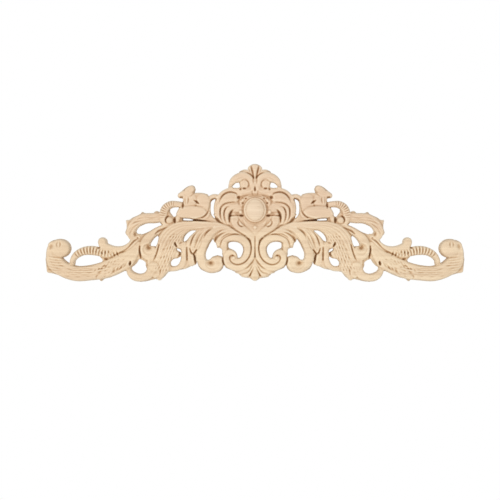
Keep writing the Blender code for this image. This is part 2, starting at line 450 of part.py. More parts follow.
def horn(wood):
    """The ribbed horn that curls down from the bloom to the upper leaf."""
    wood.plate([(94, -15), (95, -8), (98, -5), (101, 0), (106, 2), (112, -2), (114, -10), (112, -17),
                (104, -19), (96, -18)])
    wood.band([(86.4, 6.2, 3.4, 13.2), (94, 7.2, 3.7, 14.6), (100.2, 6.8, 4.3, 15.6),
               (106.2, 3.0, 4.8, 16), (109.2, -3.2, 4.8, 16), (109.4, -9.4, 4.6, 15.6),
               (107.4, -14, 4.0, 15), (103, -16, 2.6, 13.4)], ribbed(2.6, 1.2, 0.18, 0.76))
    wood.bead(102.2, -12.2, 4.6, 4.4, top=16.0, foot=11.4)
    wood.groove([(103.2, -7.4, 0.8), (105.4, -8.8, 1.2), (106.6, -12, 0.9),
                 (105.6, -15.4, 0.5)], 3.2, 1.4)


def upper_leaf(wood):
    """The arched leaf over the second stem, with a toothed outer edge."""
    wood.plate([(110, -4), (114, -2.4), (117, -0.9), (119.4, -1.6), (121, -3.2), (127, -3.6),
                (132, -3.2), (134.6, -2.0), (136.4, -4.2), (141, -6.6), (146, -8.8), (149.8, -11.4),
                (153.8, -12), (153.4, -17), (153.4, -22), (154.8, -27), (152.6, -30.4), (148.8, -31.4),
                (148.4, -36), (142, -38), (134, -32), (138, -26), (134, -18), (124, -14), (112, -14)])
    wood.band([(110, -9, 5.0, 13.8), (120, -9.6, 6.0, 14.6), (130, -9.8, 6.2, 15),
               (138.6, -13, 6.2, 15), (145, -20, 6, 14.6), (147.6, -28, 5.4, 13.8),
               (144, -36, 3.5, 13.2)], fluted(3, 0.3))
    wood.groove([(115, -8.2, 0.3), (122.6, -9.4, 1), (131, -8.6, 0.4)], 1.8, 1.2)
    wood.groove([(133, -11.6, 0.4), (140.6, -13.9, 1), (148, -17, 0.4)], 2.0, 1.2)
    wood.groove([(139, -16.6, 0.3), (145, -21, 1), (149.4, -28, 0.4)], 1.8, 1.2)
    wood.pit(143.0, -28.4, 2.2, 4.2, 2.8)
    wood.pit(139.8, -33.2, 1.9, 1.2, 2.4, -20.0)


def second_stem(wood):
    """The stem under the upper leaf and its volute."""
    wood.plate([(98, -15.6), (110, -18.6), (120, -21.8), (128, -26.2), (136, -29), (144, -30),
                (144, -42), (142, -56), (138, -59), (128, -60.2), (119, -58), (116, -50), (116, -44),
                (124, -42.6), (122, -36), (114, -28), (104, -22)])
    wood.band([(96, -17.2, 1.8, 13.2), (108, -19.8, 2.8, 13.8), (116, -24, 4.0, 14.8),
               (123.6, -30.6, 5.6, 15.6), (129.6, -38.8, 6.4, 16), (131.6, -47, 5.8, 15.8),
               (128.4, -53.8, 5.4, 15.4), (122.6, -54, 4.8, 15), (120.6, -48.6, 3.6, 14.4),
               (123, -44.6, 2.2, 13.4)])
    wood.bead(126.2, -46.8, 7.4, 7.0, top=14.8, foot=14.4)
    wood.pit(126.4, -44.4, 6.0, 5.6, 2.6)
    wood.pit(126.4, -44.2, 3.2, 3.6, 2.6)
    wood.groove([(137, -43, 0.8), (137.4, -48, 1.1), (136.6, -53, 1.1), (136, -58, 0.7)], 4.8, 1.3)


def hook(wood):
    """The scroll that hooks round the lowest opening."""
    wood.plate([(112, -56), (118, -58), (126, -58), (127, -66), (124, -76), (119, -81), (114, -76)], 14.0)
    wood.plate([(118, -58), (130, -58), (136, -57), (142, -58), (150, -62), (153.6, -70), (152.2, -77),
                (148.4, -81.6), (142.6, -84.7), (135, -85.5), (125, -83.8), (117, -80.6)])
    wood.band([(124, -60, 4.2, 13.8), (122.6, -68, 5.8, 15), (126, -76, 5.6, 15.2),
               (134.6, -80.2, 4.9, 15.2), (143.4, -79.4, 4.9, 15), (149.2, -74.2, 3.9, 14.4),
               (150.4, -67.6, 2.2, 12.8)])
    wood.bead(120.4, -67.8, 6.2, 5.8, top=16.0, foot=14.4, power=2.4)
    wood.pit(148.6, -63.4, 1.8, 3.8, 7.0, 10.0)


def wing(wood):
    """The long leaf to the end of the board, its end volute, the ribbed spray and the bud."""
    wood.plate([(134, -32), (148, -35), (152, -40), (160, -43.6), (170, -43), (184, -44), (186, -54),
                (182, -60), (190, -66), (212, -68), (226, -64), (229.4, -58), (232, -47), (235, -36),
                (241, -36), (245.4, -39.4), (248, -44.8), (249.2, -50), (249.4, -55), (250.0, -58.5),
                (249.5, -63), (248.9, -70), (248.0, -74), (240, -76), (230, -79.4), (222, -82.8),
                (214, -84.4), (205, -84.7), (195, -83.4), (187, -82), (183.6, -84.8), (180, -82.2),
                (172, -80), (166.4, -76.4), (160, -73.2), (151, -72), (146, -66), (140, -58), (137, -46)])
    wood.bead(232.6, -45.6, 12.8, 11.4, top=17.4, foot=12.6, power=2.4)
    wood.band([(138, -41, 3.4, 13.8), (143.8, -49.4, 6.2, 15), (153, -59.0, 9.4, 15.8),
               (166, -66.4, 10.2, 15.8), (180, -71.6, 10.2, 15.8), (197, -74.8, 9.2, 15.8),
               (213, -75.6, 9.2, 15.8), (228, -70.6, 9.4, 15.8), (238, -62, 9.6, 15.8),
               (242.6, -52, 6.4, 15.8), (240.2, -43.6, 7.2, 15.8)], fluted(3, 0.15))
    wood.band([(139, -33, 2.2, 13.2), (147, -40, 3.5, 14.2), (155, -45.2, 3.6, 14.4),
               (165, -46.6, 3.6, 14.2), (174, -45.2, 4.3, 14.2), (180.8, -42, 5.3, 14.8),
               (182.0, -37.9, 5.5, 15)])
    wood.band([(160.5, -51.4, 2.2, 13.6), (166, -51.8, 3.2, 14.6), (172, -52, 4.0, 15.2),
               (180, -51.2, 4.9, 15.6), (188, -49.2, 5.4, 15.8), (196, -48.1, 5.5, 15.8),
               (205, -49.4, 5.2, 15.6), (213, -53.8, 4.5, 15), (217.4, -60, 3.5, 14.2),
               (218.6, -67, 2.8, 13.2)], ribbed(3.6, 1.5, 0.02, 0.80))
    for step in range(4):
        x, z = 152.0 + 4.4 * step, -62.0 - 2.4 * step
        wood.groove([(x, z, 0.3), (x + 3.0, z - 4.2, 1), (x + 8.0, z - 8.4, 0.3)], 1.9, 1.4)
    for step in range(4):
        x, z = 174.0 + 2.2 * step, -65.0 - 3.0 * step
        wood.groove([(x, z, 0.3), (x + 5.0, z - 1.8, 1), (x + 11.0, z - 2.6, 0.3)], 1.8, 1.3)
    for step in range(5):
        z = -66.9 - 2.5 * step
        wood.groove([(188, z + 0.6, 0.2), (197, z, 1), (208, z, 1), (217, z + 0.4, 0.9),
                     (224, z + 2.2, 0.2)], 1.5, 1.15)
    for step in range(6):
        z = -56.2 - 3.1 * step
        wood.groove([(226, z - 0.8, 0.2), (233, z - 0.6, 1), (240, z + 0.2, 1),
                     (247, z + 1.6, 0.4)], 1.3, 1.15)
    wood.groove([(232.6, -37.0, 0.4), (231.4, -40.6, 1), (232.4, -45, 0.4)], 2.2, 1.2)
    wood.groove([(234.2, -37.2, 0.4), (235.6, -40.8, 1), (234.6, -45, 0.4)], 2.0, 1.2)
    wood.pit(242.2, -43.6, 3.4, 4.2, 1.6, 15.0)
    wood.groove([(137.6, -34.0, 0.5), (143, -36.2, 1), (147, -40.2, 1), (151.4, -45.0, 0.8),
                 (156, -48.4, 0.8), (161, -51.0, 1), (166.4, -53.4, 1.1), (171, -55.8, 0.5)], 3.2, 1.4)
    for step in range(5):
        x, z = 163.6 + 4.6 * step, -51.6 + 0.3 * step
        wood.groove([(x + 1.4, z + 3.6, 0.3), (x + 0.6, z, 1), (x - 1.2, z - 2.8, 0.6)], 2.8, 1.1)
    wood.pit(185.8, -45.0, 2.3, 1.7, 5.0, -25.0)
    wood.pit(177.4, -58.4, 3.2, 1.4, 3.0, 10.0)
    wood.groove([(183.2, -73.0, 0.5), (185.4, -74.6, 1), (187.8, -74.8, 0.4)], 1.6, 1.1)
    wood.groove([(186.4, -76.8, 0.5), (188.6, -79, 1), (188.4, -81.6, 0.6)], 1.9, 1.2)


def bottom_fan(wood):
    """The small fan of lobes at the foot of the middle."""
    wood.plate([(-4, -56), (4, -56), (14, -66), (26, -70), (36, -68), (33.4, -69.4), (26, -72.6),
                (20.6, -75.4), (18, -77.6), (14.6, -80), (9.4, -80.8), (5.6, -81.6), (3, -83.6),
                (0, -84.4), (-4, -83)])
    wood.band([(0, -58, 1.6, 13.2), (0, -70, 3.6, 14.8), (0, -78.5, 4.9, 15.2), (0, -80.6, 4.0, 13.4)])
    wood.band([(1.5, -62, 1.0, 13.2), (6.0, -72, 2.6, 14.4), (11.4, -77.2, 3.1, 14.4),
               (15, -78, 1.9, 12.8)])
    wood.band([(3.4, -62, 1.0, 13.2), (9.4, -69.6, 2.8, 14.4), (16.6, -73.6, 2.7, 14),
               (22, -73.4, 1.9, 12.8)])
    wood.groove([(3.4, -66, 0.7), (6.2, -71.6, 1), (10.4, -74.8, 0.9), (15.4, -75.6, 0.3)], 2.2, 1.3)
    wood.groove([(0.8, -66, 0.5), (3.6, -73, 1), (6.6, -78.4, 0.8)], 2.2, 1.3)
    wood.groove([(1.6, -59, 0.5), (5, -64, 1), (9.4, -68.6, 0.9), (14, -71, 0.3)], 2.2, 1.4)


def openings(wood):
    """Holes right through the board, from the middle outwards."""
    wood.opening([(18.6, 27.2), (18.3, 30), (19.6, 32.8), (22.6, 32.6), (25.4, 30.4), (27, 28),
                  (26, 26.9), (22, 26.8)])
    wood.opening([(14.6, -50.3), (14.3, -45.3), (16.8, -40.9), (21.3, -38.4), (26.8, -37.9),
                  (31, -38.9), (31.8, -41.9), (31, -45.1), (26.8, -46.9), (23.2, -49.5), (21.2, -53.1),
                  (20.4, -56.7), (17.6, -56.1)])
    wood.opening([(39.7, -46.8), (42.3, -45.4), (45.9, -44.8), (48.1, -41.6), (48.9, -37.8),
                  (51.7, -39.2), (55.5, -43.6), (58.3, -49.6), (58.9, -54.6), (57.5, -58.8),
                  (54.3, -58.8), (51.3, -56), (45.8, -54), (39.7, -52.6)])
    wood.opening([(70.6, -24.6), (76, -24.6), (81.5, -28), (84.7, -33), (85, -37.4), (81.6, -35.9),
                  (78, -31.6), (74, -27.8)])
    wood.opening([(88, -50.4), (88.8, -47.6), (91.4, -46), (93.6, -46), (92.8, -48), (90.2, -49.4)])
    wood.opening([(88.6, -55.6), (92.6, -57.4), (97.6, -58.6), (100.3, -61.6), (100.1, -65.8),
                  (96.6, -66.9), (92.6, -65.6), (89.6, -61.6)])
    wood.opening([(91.3, 2), (93.8, 2.9), (97.8, 2.8), (100.8, 1.2), (101.6, -1.8), (99.2, -5.4),
                  (96.6, -8.2), (94.8, -5.3), (92.8, -1.3)])
    wood.opening([(115.4, -31.6), (118.1, -31.5), (121.6, -35), (124.4, -39.5), (124.9, -42.3),
                  (121.6, -43), (118.1, -42.3), (116.1, -37.5)])
    wood.opening([(115.6, -17.5), (117.8, -16.7), (122.6, -16.7), (129.4, -16.9), (135.8, -18.4),
                  (140.2, -22), (141.8, -26), (139.8, -28.2), (135, -27.5), (129.2, -24.8),
                  (121.6, -20.2)])
    wood.opening([(130.7, -62.5), (134.2, -59.8), (138.7, -58.8), (140.7, -62), (144.2, -66),
                  (147.4, -68.3), (146.7, -71.5), (142.7, -74.4), (136.7, -75.8), (131.7, -74.2),
                  (129.2, -70.5), (130.5, -66)])
    wood.opening([(185.8, -57.8), (188.6, -55.4), (197, -53.6), (205, -54), (211, -56.8),
                  (214.6, -60.6), (214.4, -63.4), (206, -63.9), (196, -63.1), (188.4, -61)])
    wood.slit([(50.2, 10.4, 0.6), (51.6, 6, 1.1), (51.8, 0, 1.3), (50.8, -5, 1.2), (48.6, -8.6, 0.8)])
    wood.slit([(74.6, -11.8, 0.5), (78, -11.4, 1.0), (85, -11, 1.1)])


ORNAMENT = (wing, upper_leaf, second_stem, hook, fronds, flower, horn, stem_leaf, second_scroll, bottom_fan,
            cartouche, c_scroll, palmette, boss, openings)


def snap_to_outline(wood):
    """Moves each grid point that lies within half a cell of the outline onto it.

    Gives the places of the grid points, and their side: 1 on the wood, 0 on the outline, -1 off it.
    """
    inside = wood.inside
    rows, columns = inside.shape
    padded = np.pad(inside, 1, mode="edge")
    nearest_share = np.full(inside.shape, 0.5)
    move_x, move_z = np.zeros(inside.shape), np.zeros(inside.shape)
    side = np.where(inside > 0.0, 1, -1)
    for step_x, step_z in ((1, 0), (-1, 0), (0, 1), (0, -1)):
        other = padded[1 + step_z:1 + step_z + rows, 1 + step_x:1 + step_x + columns]
        crosses = (inside > 0.0) != (other > 0.0)
        share = np.where(crosses, inside / np.where(crosses, inside - other, 1.0), 1.0)
        closer = crosses & (share <= nearest_share)
        nearest_share = np.where(closer, share, nearest_share)
        move_x = np.where(closer, step_x * share * wood.cell, move_x)
        move_z = np.where(closer, step_z * share * wood.cell, move_z)
        side = np.where(closer, 0, side)
    move_x[:, 0] = 0.0
    return wood.grid_x + move_x, wood.grid_z + move_z, side


def sawn_faces(side):
    """Grid faces that lie on the wood. One that the outline cuts across keeps a triangle."""
    number = np.arange(side.size).reshape(side.shape)
    corners = np.stack([number[:-1, :-1], number[:-1, 1:], number[1:, 1:], number[1:, :-1]], axis=-1)
    corners = corners.reshape(-1, 4)
    sides = side.ravel()[corners]
    faces = corners[(sides.min(axis=1) == 0) & (sides.max(axis=1) == 1) | (sides.min(axis=1) == 1)].tolist()
    for turn in range(4):
        turned = np.roll(sides, turn, axis=1)
        cut = (turned == (-1, 0, 1, 0)).all(axis=1)
        faces += np.roll(corners, turn, axis=1)[cut, 1:].tolist()
    return faces


def rounded_heights(heights, places, on_outline):
    """Heights after the carving is rounded down to the wood left at the outline."""
    outline = KDTree(int(on_outline.sum()))
    for number, place in enumerate(places[on_outline]):
        outline.insert(place, number)
    outline.balance()
    distance = np.array([outline.find(place)[2] for place in places])
    share = np.clip(distance / ROUNDING, 0.0, 1.0)
    heights = np.where(heights > 0.0, heights, EDGE)
    low = np.minimum(heights, EDGE)
    return low + (heights - low) * np.sqrt(1.0 - (1.0 - share) ** 2)


def open_edges(faces):
    """Edges that only one face has, each in the direction in which that face runs."""
    edges = [edge for face in faces for edge in zip(face, face[1:] + face[:1])]
    known = set(edges)
    return [(first, second) for first, second in edges if (second, first) not in known]


def half_board(wood):
    """The right half of the board, open where it meets the left half: carved face, back, walls."""
    place_x, place_z, side = snap_to_outline(wood)
    faces = sawn_faces(side)
    used = np.unique([corner for face in faces for corner in face])
    scale = LENGTH / DRAWN_LENGTH
    places = np.stack([place_x.ravel()[used], 0.0 * used, place_z.ravel()[used]], axis=1) * scale
    heights = wood.height.ravel()[used] * THICKNESS / DRAWN_THICKNESS
    heights = rounded_heights(heights, places, side.ravel()[used] == 0)

    shape = bmesh.new()
    back, carved = {}, {}
    for corner, place, height in zip(used.tolist(), places, heights):
        back[corner] = shape.verts.new(place)
        carved[corner] = shape.verts.new((place[0], -height, place[2]))
    for face in faces:
        shape.faces.new([carved[corner] for corner in face])
        shape.faces.new([back[corner] for corner in reversed(face)])
    for first, second in open_edges(faces):
        if back[first].co.x + back[second].co.x > 0.1 * CELL:
            shape.faces.new((carved[second], carved[first], back[first], back[second]))
    return shape


def wood_material():
    """Raw pale wood, sanded and unfinished."""
    material = bpy.data.materials.new("raw_wood")
    material.use_nodes = True
    shader = material.node_tree.nodes["Principled BSDF"]
    shader.inputs["Base Color"].default_value = WOOD_COLOUR
    shader.inputs["Roughness"].default_value = WOOD_ROUGHNESS
    shader.inputs["Metallic"].default_value = 0.0
    return material


def carved_board(name):
    """The whole board as one object: half of it, mirrored, with fewer triangles on its plain parts."""
    wood = Carving(CELL * DRAWN_LENGTH / LENGTH)
    for part in ORNAMENT:
        part(wood)
    wood.sand(max(1, round(2.0 * (SANDING / CELL) ** 2)))
    shape = half_board(wood)
    half_triangles = sum(len(face.verts) - 2 for face in shape.faces)
    mesh = bpy.data.meshes.new(name)
    shape.to_mesh(mesh)
    shape.free()
    mesh.shade_smooth()
    mesh.materials.append(wood_material())
    board = bpy.data.objects.new(name, mesh)
    bpy.context.scene.collection.objects.link(board)
    mirror = board.modifiers.new("Mirror", "MIRROR")
    mirror.merge_threshold = 0.0001
    simplify = board.modifiers.new("Decimate", "DECIMATE")
    simplify.ratio = min(1.0, TRIANGLES / (2 * half_triangles))
    return board


def main():
    for old in list(bpy.data.objects):
        bpy.data.objects.remove(old)
    carved_board("carved_applique")


main()
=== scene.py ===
"""Carved wood applique: one pale, unfinished board, pierced and carved with acanthus scrolls.

Only the right half is drawn, and mirrored. The drawing's x runs outwards from the middle and
its z up from the centre of the boss, both in millimetres of an ornament 500 mm long; heights
are in millimetres above the flat back of a board 20 mm thick. In the scene the flat back lies
at Y = 0, the length runs along X, the top points to +Z and the carved face to -Y.
"""

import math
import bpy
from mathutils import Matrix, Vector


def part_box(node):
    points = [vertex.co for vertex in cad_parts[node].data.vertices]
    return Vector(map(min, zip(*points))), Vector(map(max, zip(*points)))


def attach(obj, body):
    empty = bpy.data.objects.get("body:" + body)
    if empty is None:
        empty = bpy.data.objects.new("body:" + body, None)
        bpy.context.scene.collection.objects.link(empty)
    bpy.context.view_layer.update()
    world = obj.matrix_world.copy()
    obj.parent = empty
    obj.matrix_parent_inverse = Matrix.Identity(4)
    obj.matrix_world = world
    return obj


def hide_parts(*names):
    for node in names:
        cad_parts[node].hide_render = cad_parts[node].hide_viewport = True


bl_info = {
    "name": "Carved Wood Applique",
    "version": (1, 0, 0),
    "blender": (4, 5, 0),
    "location": "3D View > Sidebar > Applique",
    "description": "Carves a pierced acanthus applique from one pale board and lights it in a plain studio",
    "category": "Add Mesh",
}

import bpy
import numpy as np
from mathutils import Vector
from mathutils.kdtree import KDTree

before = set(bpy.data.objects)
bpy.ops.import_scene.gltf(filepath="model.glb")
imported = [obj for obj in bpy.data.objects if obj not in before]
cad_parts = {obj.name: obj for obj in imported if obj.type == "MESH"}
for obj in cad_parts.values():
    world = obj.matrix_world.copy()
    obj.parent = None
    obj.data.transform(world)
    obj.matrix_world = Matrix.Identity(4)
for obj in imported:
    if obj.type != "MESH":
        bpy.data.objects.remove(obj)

NODE = "carved_applique"
LOW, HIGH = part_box(NODE)
SENSOR_WIDTH = 36.0  # millimetres, of the camera
SMOOTH_ANGLE = 50.0  # degrees between faces that are shaded as one curve

# The drawing, in its own millimetres
DRAWN_LENGTH = 500.0
DRAWN_THICKNESS = 20.0
DRAWN_TOP = 55.0
DRAWN_BOTTOM = -86.5
GROUND = 12.2  # height of the wood between the bands
SIDE = 13.2  # height of a band at its two sides
FLOOR = 2.5  # no groove or pit goes deeper
CURVE_STEP = 0.6  # spacing of the points along a drawn curve
HIGHLIGHT_RIM = 2.4  # width along the outline painted paler: painted highlight, and partly sanding wear
SWAY_LENGTH = 2.2  # way along a band in which the sway of its valleys turns by one radian
NOT_SAWN = -9.0  # distance to the outline where no wood is drawn
BACK_REACH = 0.5  # points nearer than this to the back belong to it
GRID_MARGIN = 2.0  # grid beyond the drawn size
BAND_MARGIN = 1.0  # grid measured beyond a band or a bead
SLIT_MARGIN = 3.0  # grid measured on each side of a slit's middle line
OUTLINE_MARGIN = 4.0  # grid measured beyond a closed outline
THINNEST = 0.01  # least half width of a band

# Shapes of the cuts and bands, as powers and shares
BAND_POWER, BAND_ROOT = 2.6, 1.6  # section of a plain band
FLUTE_POWER = 1.4  # how narrow the valleys between flutes are
RIB_POWER = 1.3  # how narrow the valleys between cross ribs are
RIB_FADE = 0.03  # share of a band's length over which its cross ribs set in
GROOVE_POWER = 1.3  # how hollow the sides of a groove are
PIT_POWER = 1.5  # how softly the rim of a pit runs out
LEAST_CUT, MOST_CUT = 0.02, 2.0  # shares of a groove's full cut
BARB_SPREAD = 1.7  # width of the strewn cuts in half widths of their leaf
BARB_LEAN = 0.45  # how much the cuts at a leaf's sides fan out
GOLDEN_PART = 0.618034  # of a width, so that strewn cuts never line up

# Marks for painted shade and painted highlight on the wood, and working values
SHADE_REACH = 4.0  # how much wider than a hollow the low ground is judged
SHADE_DEPTH = 2.0  # how much deeper than a hollow it is when fully dark
SANDING_PASSES = 2.0  # for sanding as wide as one cell
MERGE_SHARE = 0.2  # of a cell, within which the mirrored points are joined
CHUNK = 20000  # places measured at once, to spare memory
TINY = 1e-9  # keeps a division off zero
COLOUR_INPUTS = (0, 6, 7)  # of a Mix node: the factor, the first and the second colour
COLOUR_OUTPUT = 2  # of a Mix node

# Patterns of the wood, in repeats per metre along X, Y and Z
FIGURE = (3.0, 8.0, 42.0)
PATCHES = (9.0, 9.0, 14.0)
GRAIN = (5.0, 70.0, 230.0)
FIBRES = (26.0, 300.0, 620.0)
PORES = (90.0, 500.0, 900.0)
CLOUDS = (2.0, 2.0, 2.0)  # on the floor

# Painted shade and tones of the board: where each starts and where it is full, in metres from the middle of
# the boss
UPPER_SHADE = (-0.015, 0.02)
LEFT_SHADE = (0.03, -0.20)
FRONT_TONE = (-0.010, -0.014)
BOSS_TONE = (0.00022, 0.00013)  # square metres
GRAIN_BUMP = 0.00025  # height in metres of the fibres and pores
CLOUD_SHADE = 0.96  # brightness of the floor's darker clouds

# Studio: each light's name, place, side in metres and watts
LAMPS = (
    ("key_light", (-0.5, -1.8, -0.5), 1.4, 19.5),
    ("low_light", (0.3, -0.8, -1.5), 0.9, 4.0),
)
LIT_POINT = (0.0, 0.0, -0.02)  # what the lights face
VIEW_FRONT = 0.012  # metres in front of the board's back, where the view width holds
WHITE = (1.0, 1.0, 1.0, 1.0)


def smooth_step(low, high, value):
    """0 below low, 1 above high, an S-curve between them."""
    share = np.clip((value - low) / (high - low), 0.0, 1.0)
    return share * share * (3.0 - 2.0 * share)


def dome(across, power=BAND_POWER, root=BAND_ROOT):
    """Section of a rounded band: 1 on the middle line, 0 at the two sides, across = -1 and 1."""
    return np.clip(1.0 - np.abs(across) ** power, 0.0, 1.0) ** (1.0 / root)


def rounded(power=BAND_POWER, root=BAND_ROOT):
    """A plain rounded band. A higher power gives a flatter top."""
    def section(across, along, length):
        return dome(across, power, root)
    return section


FLAT_TOPPED = rounded(3.0, 1.7)


def fluted(count, depth, sway=0.0):
    """A band with count ribs along it, parted by valleys that sway a little from side to side."""
    def section(across, along, length):
        swayed = across + sway * np.sin(along / SWAY_LENGTH)
        rib = np.abs(np.sin(np.pi * count * (swayed + 1.0) / 2.0))
        return dome(across) * (1.0 - depth * (1.0 - rib) ** FLUTE_POWER)
    return section


def ribbed(pitch, depth, first, last):
    """A band with cross ribs, from the share first to the share last of its length."""
    def section(across, along, length):
        rib = np.abs(np.sin(np.pi * (along + 0.5 * np.abs(across)) / pitch))
        share = along / length
        ribs_on = smooth_step(first - RIB_FADE, first + RIB_FADE, share)
        ribs_on = ribs_on * (1.0 - smooth_step(last - RIB_FADE, last + RIB_FADE, share))
        return dome(across) * (1.0 - depth * ribs_on * (1.0 - rib) ** RIB_POWER)
    return section


def smooth_curve(knots, closed=False):
    """Points along a smooth curve through the knots; every column of the knots is blended.

    The curve is timed by the root of each gap, so it makes no loop between close knots.
    """
    rows = np.array(knots, float)
    if closed:
        rows = np.vstack([rows[-1], rows, rows[0], rows[1]])
    else:
        rows = np.vstack([2.0 * rows[0] - rows[1], rows, 2.0 * rows[-1] - rows[-2]])
    points = []
    for p0, p1, p2, p3 in zip(rows, rows[1:], rows[2:], rows[3:]):
        gaps = [max(math.dist(a[:2], b[:2]), 1e-6) ** 0.5 for a, b in ((p0, p1), (p1, p2), (p2, p3))]
        t0, t1 = 0.0, gaps[0]
        t2, t3 = t1 + gaps[1], t1 + gaps[1] + gaps[2]
        steps = max(2, math.ceil(gaps[1] ** 2 / CURVE_STEP))
        t = np.linspace(t1, t2, steps, endpoint=False)[:, None]
        a1 = (t1 - t) / (t1 - t0) * p0 + (t - t0) / (t1 - t0) * p1
        a2 = (t2 - t) / (t2 - t1) * p1 + (t - t1) / (t2 - t1) * p2
        a3 = (t3 - t) / (t3 - t2) * p2 + (t - t2) / (t3 - t2) * p3
        b1 = (t2 - t) / (t2 - t0) * a1 + (t - t0) / (t2 - t0) * a2
        b2 = (t3 - t) / (t3 - t1) * a2 + (t - t1) / (t3 - t1) * a3
        points.append((t2 - t) / (t2 - t1) * b1 + (t - t1) / (t2 - t1) * b2)
    if not closed:
        points.append(rows[-2][None])
    return np.vstack(points)


def nearest(places, curve):
    """For each place, the number of the nearest curve point and the distance to it."""
    number = np.zeros(len(places), int)
    distance = np.zeros(len(places))
    for start in range(0, len(places), CHUNK):
        part = slice(start, start + CHUNK)
        square = ((places[part, None, :] - curve[None, :, :2]) ** 2).sum(axis=2)
        number[part] = square.argmin(axis=1)
        distance[part] = np.sqrt(square.min(axis=1))
    return number, distance


class Carving:
    """Height of the carved face over the right half of the board, on a grid of cells.

    x runs outwards from the middle and z up from the centre of the boss, both in drawn
    millimetres. height is measured from the flat back. inside is the distance to the
    outline, positive on the wood. cut is the depth of the grooves and pits, which are taken
    out when all bands stand.
    """

    def __init__(self, cell):
        self.cell = cell
        self.x = np.arange(0.0, DRAWN_LENGTH / 2.0 + GRID_MARGIN, cell)
        self.z = np.arange(DRAWN_BOTTOM - GRID_MARGIN, DRAWN_TOP + GRID_MARGIN, cell)
        self.grid_x, self.grid_z = np.meshgrid(self.x, self.z)
        self.height = np.zeros_like(self.grid_x)
        self.inside = np.full_like(self.grid_x, NOT_SAWN)
        self.cut = np.zeros_like(self.grid_x)

    def window(self, points, margin):
        """The part of the grid that holds the points and a margin round them."""
        low = points[:, :2].min(axis=0) - margin
        high = points[:, :2].max(axis=0) + margin
        first, last = np.searchsorted(self.x, (low[0], high[0]))
        bottom, top = np.searchsorted(self.z, (low[1], high[1]))
        return slice(bottom, top + 1), slice(first, last + 1)

    def follow(self, knots, margin):
        """Measures the grid against a stroke: way along it, distance across, further columns."""
        curve = smooth_curve(knots)
        window = self.window(curve, margin)
        grid_x, grid_z = self.grid_x[window], self.grid_z[window]
        places = np.stack([grid_x.ravel(), grid_z.ravel()], axis=1)
        number, _ = nearest(places, curve)
        tangent = np.gradient(curve[:, :2], axis=0)
        tangent = tangent / np.linalg.norm(tangent, axis=1)[:, None]
        way = np.concatenate([[0.0], np.linalg.norm(np.diff(curve[:, :2], axis=0), axis=1).cumsum()])
        offset = places - curve[number, :2]
        direction = tangent[number]
        along = way[number] + (offset * direction).sum(axis=1)
        across = direction[:, 0] * offset[:, 1] - direction[:, 1] * offset[:, 0]
        past_end = np.clip(-along, 0.0, None) + np.clip(along - way[-1], 0.0, None)
        across = np.where(across < 0.0, -1.0, 1.0) * np.hypot(across, past_end)
        along = np.clip(along, 0.0, way[-1])
        columns = [np.interp(along, way, column).reshape(grid_x.shape) for column in curve[:, 2:].T]
        return window, along.reshape(grid_x.shape), way[-1], across.reshape(grid_x.shape), columns

    def band(self, knots, section=rounded(), side=SIDE):
        """A raised band. Its knots are rows of x, z, half width and height of the crest."""
        margin = max(row[2] for row in knots) + BAND_MARGIN
        window, along, length, across, (half_width, crest) = self.follow(knots, margin)
        half_width = np.maximum(half_width, THINNEST)
        share = across / half_width
        foot = np.minimum(side, crest)
        body = foot + (crest - foot) * section(np.clip(share, -1.0, 1.0), along, length)
        body = np.where(np.abs(share) <= 1.0, body, 0.0)
        self.height[window] = np.maximum(self.height[window], body)
        self.inside[window] = np.maximum(self.inside[window], half_width - np.abs(across))

    def bead(self, x, z, half_width, half_height, top, foot, power=2.0, root=2.0):
        """A rounded boss, which replaces what lies under it."""
        ends = np.array([(x - half_width, z - half_height), (x + half_width, z + half_height)])
        window = self.window(ends, BAND_MARGIN)
        share = np.hypot((self.grid_x[window] - x) / half_width, (self.grid_z[window] - z) / half_height)
        body = foot + (top - foot) * dome(np.clip(share, 0.0, 1.0), power, root)
        self.height[window] = np.where(share <= 1.0, body, self.height[window])
        self.inside[window] = np.maximum(self.inside[window], (1.0 - share) * min(half_width, half_height))

    def groove(self, knots, depth, half_width):
        """A cut with a V-shaped section. Its knots are rows of x, z and share of the full cut."""
        window, _, _, across, (share,) = self.follow(knots, MOST_CUT * half_width)
        share = np.clip(share, LEAST_CUT, MOST_CUT)
        slope = np.clip(1.0 - np.abs(across) / (half_width * share), 0.0, 1.0)
        self.cut[window] += depth * share * slope ** GROOVE_POWER

    def pit(self, x, z, half_width, half_height, depth, turn=0.0):
        """A dished cut, turned anticlockwise by so many degrees."""
        reach = max(half_width, half_height)
        window = self.window(np.array([(x - reach, z - reach), (x + reach, z + reach)]), 0.0)
        cosine, sine = math.cos(math.radians(turn)), math.sin(math.radians(turn))
        off_x, off_z = self.grid_x[window] - x, self.grid_z[window] - z
        long_way = off_x * cosine + off_z * sine
        short_way = off_z * cosine - off_x * sine
        share = np.hypot(long_way / half_width, short_way / half_height)
        self.cut[window] += depth * np.clip(1.0 - share ** 2, 0.0, 1.0) ** PIT_POWER

    def region(self, knots):
        """Distance to a smooth closed outline, positive inside it."""
        curve = smooth_curve(knots, closed=True)
        window = self.window(curve, OUTLINE_MARGIN)
        grid_x, grid_z = self.grid_x[window], self.grid_z[window]
        _, distance = nearest(np.stack([grid_x.ravel(), grid_z.ravel()], axis=1), curve)
        within = np.zeros(grid_x.shape, bool)
        for (x0, z0), (x1, z1) in zip(curve, np.roll(curve, -1, axis=0)):
            if z0 != z1:
                level = (grid_z >= min(z0, z1)) & (grid_z < max(z0, z1))
                within ^= level & (grid_x < x0 + (grid_z - z0) * (x1 - x0) / (z1 - z0))
        return window, np.where(within, 1.0, -1.0) * distance.reshape(grid_x.shape)

    def plate(self, knots, height=GROUND):
        """Wood left at one height inside a closed outline."""
        window, distance = self.region(knots)
        raised = np.where(distance > 0.0, np.maximum(self.height[window], height), self.height[window])
        self.height[window] = raised
        self.inside[window] = np.maximum(self.inside[window], distance)

